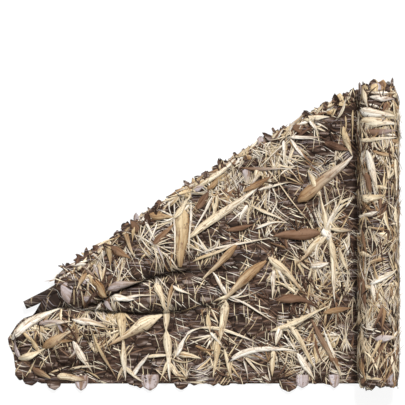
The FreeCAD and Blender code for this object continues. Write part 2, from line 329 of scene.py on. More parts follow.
def add(tree, kind, *places, **values):
    """A node; places are sources for its first inputs, in order, and values set its properties."""
    node = tree.nodes.new(kind)
    for name, value in values.items():
        setattr(node, name, value)
    for socket, source in zip(node.inputs, places):
        if isinstance(source, bpy.types.NodeSocket):
            tree.links.new(source, socket)
        elif source is not None:
            socket.default_value = source
    return node


def maths(tree, operation, a, b=0.0, c=0.0):
    """A Math node's result."""
    return add(tree, "ShaderNodeMath", a, b, c, operation=operation).outputs[0]


def stretch(tree, vector, scale, turn=0.0, move=(0, 0, 0)):
    """The vector moved, turned about Z and scaled."""
    return add(tree, "ShaderNodeMapping", vector, move, (0, 0, turn), scale).outputs[0]


def noise(tree, vector, scale, detail=3.0):
    """A Noise Texture's value."""
    node = add(tree, "ShaderNodeTexNoise")
    tree.links.new(vector, node.inputs["Vector"])
    node.inputs["Scale"].default_value = scale
    node.inputs["Detail"].default_value = detail
    return node.outputs[0]


def ramp(tree, value, *stops):
    """A colour ramp; each stop is (position, colour)."""
    node = add(tree, "ShaderNodeValToRGB", value)
    elements = node.color_ramp.elements
    while len(elements) < len(stops):
        elements.new(1)
    for element, (position, colour) in zip(elements, stops):
        element.position = position
        element.color = (*colour, 1)
    return node.outputs[0]


def ramp_value(tree, value, low, high):
    """0 below low, 1 above high, straight between."""
    node = add(tree, "ShaderNodeMapRange")
    tree.links.new(value, node.inputs["Value"])
    node.inputs["From Min"].default_value = low
    node.inputs["From Max"].default_value = high
    return node.outputs[0]


def mix(tree, share, a, b, blend="MIX"):
    """Colour a mixed with colour b."""
    node = add(tree, "ShaderNodeMix", data_type="RGBA", blend_type=blend)
    for socket, source in zip((node.inputs[0], node.inputs[6], node.inputs[7]), (share, a, b)):
        if isinstance(source, bpy.types.NodeSocket):
            tree.links.new(source, socket)
        else:
            socket.default_value = source if np.isscalar(source) else (*source, 1)
    return node.outputs[2]


def new_group(name, inputs, outputs):
    """A shader node group; inputs and outputs are (name, socket kind)."""
    group = bpy.data.node_groups.new(name, "ShaderNodeTree")
    for way, sockets in (("INPUT", inputs), ("OUTPUT", outputs)):
        for socket, kind in sockets:
            group.interface.new_socket(socket, in_out=way, socket_type="NodeSocket" + kind)
    return group, group.nodes.new("NodeGroupInput"), group.nodes.new("NodeGroupOutput")


def strand_group():
    """Printed strands in the cells of a turned grid, Pitch wide and Run long.

    Each column starts at its own random place. A strand fills its cell's length and narrows to both ends. Its
    width, its place across the cell and its tone come from the cell's random numbers. Share is the share of
    cells that hold a strand.
    """
    inputs = [("Cloth", "Vector")] + [(name, "Float") for name in ("Turn", "Pitch", "Run", "Share")]
    group, given, result = new_group("printed_strands", inputs, [("Mask", "Float"), ("Tone", "Float")])
    turned = add(group, "ShaderNodeVectorRotate", rotation_type="Z_AXIS")
    group.links.new(given.outputs["Cloth"], turned.inputs["Vector"])
    group.links.new(given.outputs["Turn"], turned.inputs["Angle"])
    bent = noise(group, turned.outputs[0], 5.0, 1.0)
    parts = add(group, "ShaderNodeSeparateXYZ", turned.outputs[0])
    across = maths(group, "ADD", parts.outputs[0], maths(group, "MULTIPLY", bent, 0.05))
    column = maths(group, "DIVIDE", across, given.outputs["Pitch"])
    number = maths(group, "FLOOR", column)
    column_draw = add(group, "ShaderNodeTexWhiteNoise", noise_dimensions="1D")
    group.links.new(number, column_draw.inputs["W"])
    along = maths(group, "DIVIDE", parts.outputs[1], given.outputs["Run"])
    along = maths(group, "ADD", along, maths(group, "MULTIPLY", column_draw.outputs[0], 7.0))
    cell = add(group, "ShaderNodeCombineXYZ", number, maths(group, "FLOOR", along))
    draw = add(group, "ShaderNodeTexWhiteNoise", noise_dimensions="2D")
    group.links.new(cell.outputs[0], draw.inputs["Vector"])
    drawn = add(group, "ShaderNodeSeparateColor", draw.outputs["Color"])
    ends = maths(group, "PINGPONG", along, 0.5)
    width = maths(group, "MULTIPLY", maths(group, "POWER", maths(group, "MULTIPLY", ends, 2.0), 0.6), 0.22)
    width = maths(group, "MULTIPLY", width, maths(group, "ADD", drawn.outputs[0], 0.4))
    off = maths(group, "SUBTRACT", maths(group, "FRACT", column), 0.5)
    aside = maths(group, "MULTIPLY", maths(group, "SUBTRACT", drawn.outputs[1], 0.5), 0.5)
    off = maths(group, "SUBTRACT", off, aside)
    inside = maths(group, "SUBTRACT", width, maths(group, "ABSOLUTE", off))
    inside = maths(group, "MULTIPLY", inside, 16.0)
    inside = add(group, "ShaderNodeClamp", inside).outputs[0]
    chosen = maths(group, "LESS_THAN", drawn.outputs[2], given.outputs["Share"])
    group.links.new(maths(group, "MULTIPLY", inside, chosen), result.inputs["Mask"])
    group.links.new(draw.outputs["Value"], result.inputs["Tone"])
    return group


def weave_group():
    """Plain weave as a height for a bump: the product of two sine waves across the yarns, plus fine noise."""
    group, given, result = new_group("weave", [("Place", "Vector"), ("Yarn", "Float")], [("Height", "Float")])
    parts = add(group, "ShaderNodeSeparateXYZ", given.outputs["Place"])
    rate = maths(group, "DIVIDE", math.pi, given.outputs["Yarn"])
    waves = [maths(group, "SINE", maths(group, "MULTIPLY", parts.outputs[i], rate)) for i in (0, 1)]
    height = maths(group, "MULTIPLY", waves[0], waves[1])
    fuzz = noise(group, given.outputs["Place"], 900.0)
    group.links.new(maths(group, "ADD", height, fuzz), result.inputs["Height"])
    return group


def use(tree, group, **inputs):
    """The group placed in a material or another group, with its named inputs set."""
    node = add(tree, "ShaderNodeGroup", node_tree=group)
    for name, source in inputs.items():
        if isinstance(source, bpy.types.NodeSocket):
            tree.links.new(source, node.inputs[name])
        else:
            node.inputs[name].default_value = source
    return node


def mud_group(strands):
    """The printed ground: streaky mud and water, with finer reeds in several directions printed over it."""
    group, given, result = new_group("mud_print", [("Cloth", "Vector")], [("Color", "Color")])
    cloth = given.outputs["Cloth"]
    streak = noise(group, stretch(group, cloth, (9, 70, 1)), 1.0, 5.0)
    patch = noise(group, stretch(group, cloth, (6, 11, 1)), 1.0, 3.0)
    ground = ramp(
        group,
        streak,
        (0.30, linear(20, 12, 7)),
        (0.47, linear(42, 29, 20)),
        (0.57, linear(86, 66, 54)),
        (0.68, linear(172, 156, 146)),
    )
    ground = mix(group, maths(group, "MULTIPLY", patch, 0.5), ground, linear(70, 46, 34))
    layers = [
        (0.15, 0.014, 0.11, 0.20, "umber", "shade"),
        (1.25, 0.020, 0.16, 0.22, "brown", "umber"),
        (-0.85, 0.016, 0.13, 0.20, "umber", "brown"),
        (0.55, 0.013, 0.10, 0.14, "brown", "tan"),
        (1.52, 0.008, 0.14, 0.16, "lilac", "umber"),
        (-0.15, 0.010, 0.12, 0.12, "straw", "tan"),
        (-1.15, 0.009, 0.09, 0.12, "pale", "straw"),
    ]
    for turn, pitch, run, share, first, second in layers:
        line = use(group, strands, Cloth=cloth, Turn=turn, Pitch=pitch, Run=run, Share=share)
        tone = mix(group, line.outputs["Tone"], TONES[first], TONES[second])
        ground = mix(group, line.outputs["Mask"], ground, tone)
    group.links.new(ground, result.inputs["Color"])
    return group


def new_material(name):
    """An empty material with a Principled shader; gives its tree and shader."""
    material = bpy.data.materials.new(name)
    material.use_nodes = True
    return material, material.node_tree, material.node_tree.nodes["Principled BSDF"]


def set_bump(tree, shader, height, strength, distance):
    """A Bump node between a height and the shader's normal."""
    bump = add(tree, "ShaderNodeBump")
    bump.inputs["Strength"].default_value = strength
    bump.inputs["Distance"].default_value = distance
    tree.links.new(height, bump.inputs["Height"])
    tree.links.new(bump.outputs[0], shader.inputs["Normal"])


def attribute(tree, name):
    """An Attribute node."""
    return add(tree, "ShaderNodeAttribute", attribute_name=name)


def print_material(mud, weave):
    """The printed cloth's face: a leaf's own tint with fibres along it, and the mud print elsewhere. Both are
    darkened by a mix towards the dark shade tone: painted shade along the valleys, and a darker tone on the
    tail."""
    material, tree, shader = new_material("printed_cloth")
    cloth = attribute(tree, "cloth").outputs["Vector"]
    leaf = attribute(tree, "leaf").outputs["Vector"]
    tint = attribute(tree, "tint")
    fibre = noise(tree, stretch(tree, leaf, (3.5, 12, 1)), 1.0, 4.0)
    blotch = noise(tree, stretch(tree, leaf, (1.5, 34, 1)), 1.0, 2.0)
    fleck = noise(tree, stretch(tree, leaf, (3, 130, 1)), 1.0, 2.0)
    side = add(tree, "ShaderNodeSeparateXYZ", leaf)
    off_middle = maths(tree, "ABSOLUTE", side.outputs[0])
    edge = ramp_value(tree, off_middle, 0.55, 1.0)
    reed = mix(tree, maths(tree, "MULTIPLY", edge, 0.45), tint.outputs["Color"], TONES["reed_tone_and_shade"], "MULTIPLY")
    reed = mix(tree, ramp_value(tree, fibre, 0.50, 0.68), reed, TONES["reed_tone_and_shade"], "MULTIPLY")
    reed = mix(tree, ramp_value(tree, blotch, 0.55, 0.75), reed, TONES["brown"])
    reed = mix(tree, ramp_value(tree, fleck, 0.66, 0.72), reed, TONES["umber"])
    midrib = maths(tree, "LESS_THAN", off_middle, 0.10)
    reed = mix(tree, maths(tree, "MULTIPLY", midrib, 0.25), reed, TONES["brown"])
    # Painted shade: one half of each leaf, on one side of its middle line, multiplied darker.
    half = ramp_value(tree, side.outputs[0], -0.15, 0.15)
    reed = mix(tree, maths(tree, "MULTIPLY", half, 0.34), reed, TONES["reed_tone_and_shade"], "MULTIPLY")
    mud_print = use(tree, mud, Cloth=cloth)
    colour = mix(tree, tint.outputs["Alpha"], mud_print.outputs["Color"], reed)
    # Painted shade along the valleys, and a darker tone on the rolled tail: a mix towards the dark shade
    # tone.
    dim = attribute(tree, "dusk").outputs["Fac"]
    colour = mix(tree, maths(tree, "MULTIPLY", dim, 0.86), colour, TONES["shade"])
    tree.links.new(colour, shader.inputs["Base Color"])
    rough = maths(tree, "MULTIPLY_ADD", fibre, 0.25, 0.62)
    tree.links.new(rough, shader.inputs["Roughness"])
    shader.inputs["Specular IOR Level"].default_value = 0.25
    place_node = add(tree, "ShaderNodeTexCoord")
    height = use(tree, weave, Place=place_node.outputs["Object"], Yarn=YARN)
    crumple = noise(tree, stretch(tree, leaf, (1.2, 26, 1)), 1.0, 3.0)
    crumple = maths(tree, "MULTIPLY", maths(tree, "MULTIPLY", crumple, tint.outputs["Alpha"]), 9.0)
    height = maths(tree, "ADD", height.outputs["Height"], maths(tree, "MULTIPLY_ADD", fibre, 2.0, crumple))
    set_bump(tree, shader, height, 0.5, 0.0006)
    return material


def back_material(weave):
    """The unprinted back: mid grey, with the print's dark areas faintly showing through."""
    material, tree, shader = new_material("cloth_back")
    cloth = attribute(tree, "cloth").outputs["Vector"]
    through = noise(tree, stretch(tree, cloth, (12, 30, 1)), 1.0, 3.0)
    colour = ramp(tree, through, (0.35, linear(124, 118, 112)), (0.65, linear(160, 154, 147)))
    tree.links.new(colour, shader.inputs["Base Color"])
    shader.inputs["Roughness"].default_value = 0.85
    place_node = add(tree, "ShaderNodeTexCoord")
    height = use(tree, weave, Place=place_node.outputs["Object"], Yarn=YARN)
    set_bump(tree, shader, height.outputs["Height"], 0.4, 0.0004)
    return material


def card_material():
    """Spiral-wound kraft card: brown, with a darker seam that climbs round the tube and paper flecks."""
    material, tree, shader = new_material("kraft_card")
    place_node = add(tree, "ShaderNodeTexCoord")
    fleck = noise(tree, stretch(tree, place_node.outputs["Object"], (120, 40, 120)), 1.0, 5.0)
    colour = ramp(tree, fleck, (0.30, linear(142, 108, 74)), (0.70, linear(190, 154, 112)))
    parts = add(tree, "ShaderNodeSeparateXYZ", place_node.outputs["Object"])
    x = maths(tree, "SUBTRACT", parts.outputs[0], ROLL_X)
    z = maths(tree, "SUBTRACT", parts.outputs[2], ROLL_Z)
    turn = maths(tree, "DIVIDE", maths(tree, "ARCTAN2", z, x), 2 * math.pi)
    climb = maths(tree, "FRACT", maths(tree, "ADD", turn, maths(tree, "MULTIPLY", parts.outputs[1], 9.0)))
    seam = maths(tree, "LESS_THAN", climb, 0.025)
    colour = mix(tree, maths(tree, "MULTIPLY", seam, 0.6), colour, linear(92, 66, 42))
    tree.links.new(colour, shader.inputs["Base Color"])
    shader.inputs["Roughness"].default_value = 0.8
    set_bump(tree, shader, fleck, 0.3, 0.0005)
    return material


def thread_material():
    """Dark brown twisted thread: light and dark flecks that slant across it."""
    material, tree, shader = new_material("brown_thread")
    place_node = add(tree, "ShaderNodeTexCoord")
    twist = noise(tree, stretch(tree, place_node.outputs["Object"], (700, 1500, 700), 0.6), 1.0, 1.0)
    colour = ramp(tree, twist, (0.35, linear(48, 36, 28)), (0.65, linear(104, 84, 62)))
    tree.links.new(colour, shader.inputs["Base Color"])
    shader.inputs["Roughness"].default_value = 0.6
    set_bump(tree, shader, twist, 0.5, 0.0003)
    return material


weave = weave_group()
PRINTED = print_material(mud_group(strand_group()), weave)
BACK = back_material(weave)
CARD = card_material()
THREAD = thread_material()


# Meshes


def set_attributes(mesh, **layers):
    """Writes named vertex layers: tint as a colour, dusk as numbers, the others as vectors."""
    kinds = {"tint": ("FLOAT_COLOR", "color"), "dusk": ("FLOAT", "value")}
    for name, values in layers.items():
        kind, field = kinds.get(name, ("FLOAT_VECTOR", "vector"))
        layer = mesh.attributes.new(name, kind, "POINT")
        layer.data.foreach_set(field, np.ascontiguousarray(values, np.float32).ravel())


def new_piece(name, points, faces, materials, face_materials=None):
    """A smooth-shaded mesh object at the origin."""
    mesh = bpy.data.meshes.new(name)
    mesh.from_pydata(points.reshape(-1, 3), [], faces)
    for material in materials:
        mesh.materials.append(material)
    if face_materials is not None:
        mesh.polygons.foreach_set("material_index", face_materials)
    mesh.polygons.foreach_set("use_smooth", np.ones(len(mesh.polygons), bool))
    piece = bpy.data.objects.new(name, mesh)
    bpy.context.scene.collection.objects.link(piece)
    return piece


def grid_faces(rows, columns):
    """The quads of a grid whose points are numbered row by row."""
    corner = np.arange((rows - 1) * columns).reshape(rows - 1, columns)[:, :-1].ravel()
    return np.stack([corner, corner + columns, corner + columns + 1, corner + 1], axis=1)


def cloth_sheet(name, s, t, points):
    """A cloth over a grid of cloth coordinates, thickened away from its printed face."""
    piece = new_piece(name, points, grid_faces(*s.shape), [PRINTED, BACK])
    cloth = np.stack([s, t, 0 * s], axis=-1)
    # The base cloth takes the full painted shade along the valleys.
    set_attributes(piece.data, cloth=cloth, leaf=0 * cloth, tint=np.zeros((*s.shape, 4)), dusk=dusk(s, t))
    shell = piece.modifiers.new("thickness", "SOLIDIFY")
    shell.thickness = CLOTH
    shell.offset = -1
    shell.material_offset = 1
    shell.material_offset_rim = 1
    return piece


def leaf_shells(name, batches):
    """Closed thin leaves. Each batch is a dict of arrays over (leaf, along, across).

    The points lie on a grid per leaf, once at its face and once one thickness below, and a rim joins the two.
    """
    points, layers, faces, kinds = [], {"cloth": [], "leaf": [], "tint": [], "dusk": []}, [], []
    total = 0
    for batch in batches:
        count, along, across = batch["s"].shape
        if not count:
            continue
        number = np.arange(count * along * across).reshape(count, along, across)
        below = number + number.size
        here, ahead = (slice(None), slice(None, -1)), (slice(None), slice(1, None))
        right, left = slice(None, -1), slice(1, None)
        quads = [
            (number[(*here, right)], number[(*ahead, right)], number[(*ahead, left)], number[(*here, left)]),
            (below[(*here, right)], below[(*here, left)], below[(*ahead, left)], below[(*ahead, right)]),
            (number[(*here, 0)], below[(*here, 0)], below[(*ahead, 0)], number[(*ahead, 0)]),
            (number[(*here, -1)], number[(*ahead, -1)], below[(*ahead, -1)], below[(*here, -1)]),
            (number[:, 0, right], number[:, 0, left], below[:, 0, left], below[:, 0, right]),
            (number[:, -1, right], below[:, -1, right], below[:, -1, left], number[:, -1, left]),
        ]
        for order, corners in enumerate(quads):
            made = np.stack([c.ravel() for c in corners], axis=1)
            faces.append(made + total)
            kinds.append(np.full(len(made), 1 if order == 1 else 0))
        for drop in (0, LEAF_THICK):
            points.append(place(batch["s"], batch["t"], batch["rise"] - drop, batch["free"]).reshape(-1, 3))
            for layer in ("cloth", "leaf", "tint"):
                layers[layer].append(batch[layer].reshape(-1, batch[layer].shape[-1]))
            # Each leaf takes its dim share of the painted shade along the valleys.
            layers["dusk"].append((batch["dim"] * dusk(batch["s"], batch["t"])).ravel())
        total += 2 * number.size
    points, faces, kinds = (np.concatenate(values) for values in (points, faces, kinds))
    piece = new_piece(name, points, faces, [PRINTED, BACK], kinds)
    set_attributes(piece.data, **{layer: np.concatenate(values) for layer, values in layers.items()})
    return piece


# Leaves

rng = np.random.default_rng(7)


def blades(leaves, steps=9):
    """Long narrow leaves as grids three points wide.

    The middle line is an arc: the heading turns evenly by the leaf's bend from end to end, with a small wave.
    The width grows over the first part of the length (blunt), stays nearly even, and narrows to the tip over
    the last part (taper). The two halves slope down from the middle by a share of the width (ridge). The leaf
    also rocks from side to side, as a sine wave along its length (twist).
    """
    leaf = {name: values[:, None] for name, values in leaves.items()}
    k = np.linspace(0, 1, steps)[None, :]
    heading = leaf["angle"] + leaf["bend"] * (k - 0.5)
    heading = heading + 0.07 * np.sin(7 * k + leaf["seed"])
    step = leaf["length"] / (steps - 1)
    middle = (heading[:, 1:] + heading[:, :-1]) / 2
    s = leaf["s"] + np.pad(np.cumsum(step * np.cos(middle), axis=1), ((0, 0), (1, 0)))
    t = leaf["t"] + np.pad(np.cumsum(step * np.sin(middle), axis=1), ((0, 0), (1, 0)))
    shape = ((k + 0.02) / leaf["blunt"]).clip(0, 1) ** 0.7 * ((1.02 - k) / leaf["taper"]).clip(0, 1) ** 0.9
    width = leaf["width"] * shape * (1 + 0.12 * np.sin(9 * k + leaf["seed"]))
    side = np.array([-0.5, 0, 0.5])
    ridge = leaf["ridge"] * width
    roll_over = leaf["twist"] * width * np.sin(8 * k + 2 * leaf["seed"])
    rise = leaf["lift"] + leaf["arch"] * np.sin(math.pi * k) + leaf["curl"] * k**3
    tint = leaf["root"] * (1 - k[..., None] ** 2) + leaf["tip"] * k[..., None] ** 2
    full = np.ones((*width.shape, 3))
    along = (leaf["length"] * k)[..., None] * full
    seed = leaf["seed"][..., None] * full
    return {
        "s": s[..., None] - np.sin(heading)[..., None] * width[..., None] * side,
        "t": t[..., None] + np.cos(heading)[..., None] * width[..., None] * side,
        "rise": rise[..., None] + ridge[..., None] * (1 - 2 * np.abs(side)) + roll_over[..., None] * side,
        "free": leaf["free"][..., None] * full,
        "dim": leaf["dim"][..., None] * full,
        "cloth": np.stack([s[..., None] * full, t[..., None] * full, seed], axis=-1),
        "leaf": np.stack([2 * side * full, along, seed], axis=-1),
        "tint": np.concatenate([tint[..., None, :] * full[..., None], full[..., None]], axis=-1),
    }


def lobes(leaves, along=6, across=5):
    """Broad die-cut tongues: share is 0 for one that carries the cloth's print and 1 for its own plain tint.

    The sides are straight for the first part of the length, then a half ellipse, with a slight wave. A tongue
    lifts by its arch times the distance from its root, plus its curl times that distance squared, more at the
    sides.
    """
    leaf = {name: values[:, None, None] for name, values in leaves.items()}
    a = np.linspace(0, 1, along)[None, :, None]
    b = np.linspace(-1, 1, across)[None, None, :]
    round_part = np.clip((a - 0.45) / 0.55, 0, 0.995)
    half = leaf["width"] / 2 * np.sqrt(1 - round_part**2) * (1 + 0.08 * np.sin(5 * a + leaf["seed"]))
    heading = leaf["angle"] + leaf["bend"] * a
    s = leaf["s"] + leaf["length"] * a * np.cos(heading) - half * b * np.sin(heading)
    t = leaf["t"] + leaf["length"] * a * np.sin(heading) + half * b * np.cos(heading)
    rise = leaf["lift"] + leaf["curl"] * a**2 * (0.7 + 0.6 * b**2) + leaf["arch"] * a
    full = np.ones(s.shape)
    seed = leaf["seed"] * full
    return {
        "s": s,
        "t": t,
        "rise": rise,
        "free": leaf["free"] * full,
        "dim": leaf["dim"] * full,
        "cloth": np.stack([s, t, seed], axis=-1),
        "leaf": np.stack([b * full, leaf["length"] * a * full, seed], axis=-1),
        "tint": np.concatenate([leaf["root"] * full[..., None], (leaf["share"] * full)[..., None]], axis=-1),
    }


def tones(names, count, spread=0.12):
    """Random colours from the named tones, each a little lighter or darker."""
    table = np.array([TONES[name] for name in names])
    return table[rng.integers(0, len(names), count)] * rng.normal(1, spread, (count, 1)).clip(0.6, 1.4)


def leaf_set(s, t, angle, length, width, **more):
    """A dict of arrays, one value a leaf, with usual values where none is given."""
    count = len(s)
    leaves = {
        "s": s,
        "t": t,
        "angle": angle,
        "length": length,
        "width": width,
        "bend": rng.normal(0, 0.35, count),
        "blunt": rng.uniform(0.1, 0.5, count),
        "taper": rng.uniform(0.5, 0.9, count),
        "ridge": rng.uniform(-0.12, 0.22, count),
        "twist": rng.normal(0, 0.22, count),
        "lift": rng.uniform(0.0025, 0.0065, count),
        "arch": rng.uniform(0, 0.004, count),
        "curl": rng.uniform(-0.001, 0.006, count),
        "seed": rng.uniform(0, 90, count),
        "share": np.zeros(count),
        "free": np.zeros(count),
        # How much of the painted shade along the valleys a leaf takes.
        "dim": np.full(count, 0.75),
        "root": tones(["straw", "tan"], count),
        "tip": tones(["straw", "tan", "gold"], count),
    }
    leaves.update(more)
    return leaves


def pick(leaves, chosen):
    """The leaves where chosen is true."""
    return {name: values[chosen] for name, values in leaves.items()}


def join(*sets):
    """Several leaf sets as one."""
    return {name: np.concatenate([leaves[name] for leaves in sets]) for name in sets[0]}


def shadows(leaves):
    """A painted shadow for each broad leaf, as the print has beside its reeds: a dark copy, wider, lower, and
    a little down and to the left.
    """
    count = len(leaves["s"])
    return {
        **leaves,
        "s": leaves["s"] - 0.003,
        "t": leaves["t"] - 0.004,
        "width": leaves["width"] * 1.12 + 0.003,
        "lift": np.full(count, 0.0014),
        "arch": np.zeros(count),
        "curl": np.zeros(count),
        "ridge": np.zeros(count),
        "root": tones(["shade"], count),
        "tip": tones(["shade", "umber"], count),
    }


# Where the dark ground shows between the leaves: middle X, Y and the half axes of an ellipse

CLEARINGS = np.array(
    [
        (0.21, -0.16, 0.10, 0.07),
        (0.02, -0.26, 0.05, 0.08),
        (0.22, -0.41, 0.12, 0.11),
        (0.43, 0.17, 0.09, 0.07),
        (0.63, 0.235, 0.08, 0.05),
        (0.56, 0.41, 0.09, 0.04),
        (-0.27, -0.205, 0.11, 0.035),
        (-0.31, -0.32, 0.10, 0.05),
        (-0.275, -0.48, 0.09, 0.10),
        (-0.09, -0.44, 0.08, 0.12),
        (-0.09, -0.24, 0.08, 0.08),
        (-0.69, -0.585, 0.05, 0.045),
        (-0.475, -0.60, 0.07, 0.06),
        (0.00, 0.07, 0.05, 0.09),
        (0.17, 0.00, 0.07, 0.05),
        (0.10, 0.06, 0.06, 0.04),
        (-0.80, -0.30, 0.07, 0.045),
        (-0.73, -0.26, 0.07, 0.045),
    ]
)


def cleared_share(s, t):
    """Four fifths of the distance from the nearest clearing's middle over its half axes: 0.8 at its edge."""
    across = (s[:, None] - CLEARINGS[:, 0]) / CLEARINGS[:, 2]
    up = (t[:, None] - CLEARINGS[:, 1]) / CLEARINGS[:, 3]
    return 0.8 * np.hypot(across, up).min(axis=1)


def scatter(count, low_s, high_s):
    """Random roots over a stretch of cloth, fewer in the clearings and towards the middle of the ground."""
    s = rng.uniform(low_s, high_s, count * 6)
    t = rng.uniform(-HALF_WIDTH, HALF_WIDTH, count * 6)
    from_middle = np.hypot((s + 0.12) / 0.5, (t + 0.3) / 0.35)
    dense = 0.40 + 0.35 * smooth(from_middle - 0.3) + 0.25 * smooth(t / 0.15)
    kept = smooth(cleared_share(s, t) - 0.5) * dense
    wrapped = s > BEND_X
    fits = wrapped | ((past_fold(s, t) < 0.01) & (t > LOW_Y) & (s > np.interp(t, END_Y, END_X) + 0.01))
    fits &= wrapped | (rng.uniform(0, 1, len(s)) < kept)
    return s[fits][:count], t[fits][:count]


def inside_outline(batch):
    """Which leaves may stay: none past the cloth's long edges or its loose end, none across the dark crease,
    and none whose middle is in a clearing."""
    s, t = (batch[name].reshape(len(batch[name]), -1) for name in ("s", "t"))
    on_ground = s < BEND_X
    off = (t < LOW_Y - 0.006) | (t > HALF_WIDTH + 0.012)
    off |= on_ground & (s < np.interp(t, END_Y, END_X) + 0.004)
    off |= on_ground & (s < SEAM_X) & (past_fold(s, t) > 3 * fold_radius(s))
    crossing = (s.min(axis=1) < CREASE_X - 0.003) & (s.max(axis=1) > CREASE_X)
    cleared = cleared_share(s.mean(axis=1), t.mean(axis=1)) < 0.85
    return ~off.any(axis=1) & ~crossing & ~cleared


def of(*names):
    """A function that gives so many random colours from the named tones."""
    return lambda count: tones(names, count)


def tufts(count, each, low_s, high_s, main, spread, length, width, **more):
    """Leaves in bunches: each fans out evenly from one root, and its outer leaves bend outwards. What is in
    more are functions that make one value for each leaf."""
    s, t = scatter(count, low_s, high_s)
    count = len(s)
    s, t = np.repeat(s, each), np.repeat(t, each)
    turn = np.repeat(rng.choice(main, count) + rng.normal(0, 0.25, count), each)
    size = np.repeat(rng.uniform(*length, count), each)
    total = count * each
    aside = np.tile(np.linspace(-1, 1, each), count) if each > 1 else np.zeros(total)
    aside = aside + rng.normal(0, 0.15, total)
    leaves = leaf_set(
        s + rng.normal(0, 0.003, total),
        t + rng.normal(0, 0.003, total),
        turn + spread * aside,
        size * rng.uniform(0.7, 1.15, total) * (1 - 0.2 * aside**2).clip(0.5, 1),
        rng.uniform(*width, total),
        bend=0.8 * spread * aside + rng.normal(0, 0.25, total),
    )
    leaves.update({name: make(total) for name, make in more.items()})
    return leaves


def fans(count, each, low_s, high_s, length):
    """Bunches of near-parallel pale strands, side by side, that curve together."""
    s, t = scatter(count, low_s, high_s)
    count = len(s)
    turn, bend = rng.uniform(-math.pi, math.pi, count), rng.normal(0, 0.9, count)
    size = rng.uniform(*length, count)
    gap = np.tile(np.arange(each) * 0.0070, count)
    s, t, turn, bend, size = (np.repeat(values, each) for values in (s, t, turn, bend, size))
    total = count * each
    return leaf_set(
        s - gap * np.sin(turn) + rng.normal(0, 0.003, total),
        t + gap * np.cos(turn) + rng.normal(0, 0.003, total),
        turn + 4 * gap * np.sign(bend) + rng.normal(0, 0.05, total),
        size * rng.uniform(0.6, 1.1, total),
        rng.uniform(0.0028, 0.0058, total),
        root=tones(["pale", "straw", "lilac"], total),
        tip=tones(["pale", "straw"], total),
        bend=bend + rng.normal(0, 0.1, total),
    )
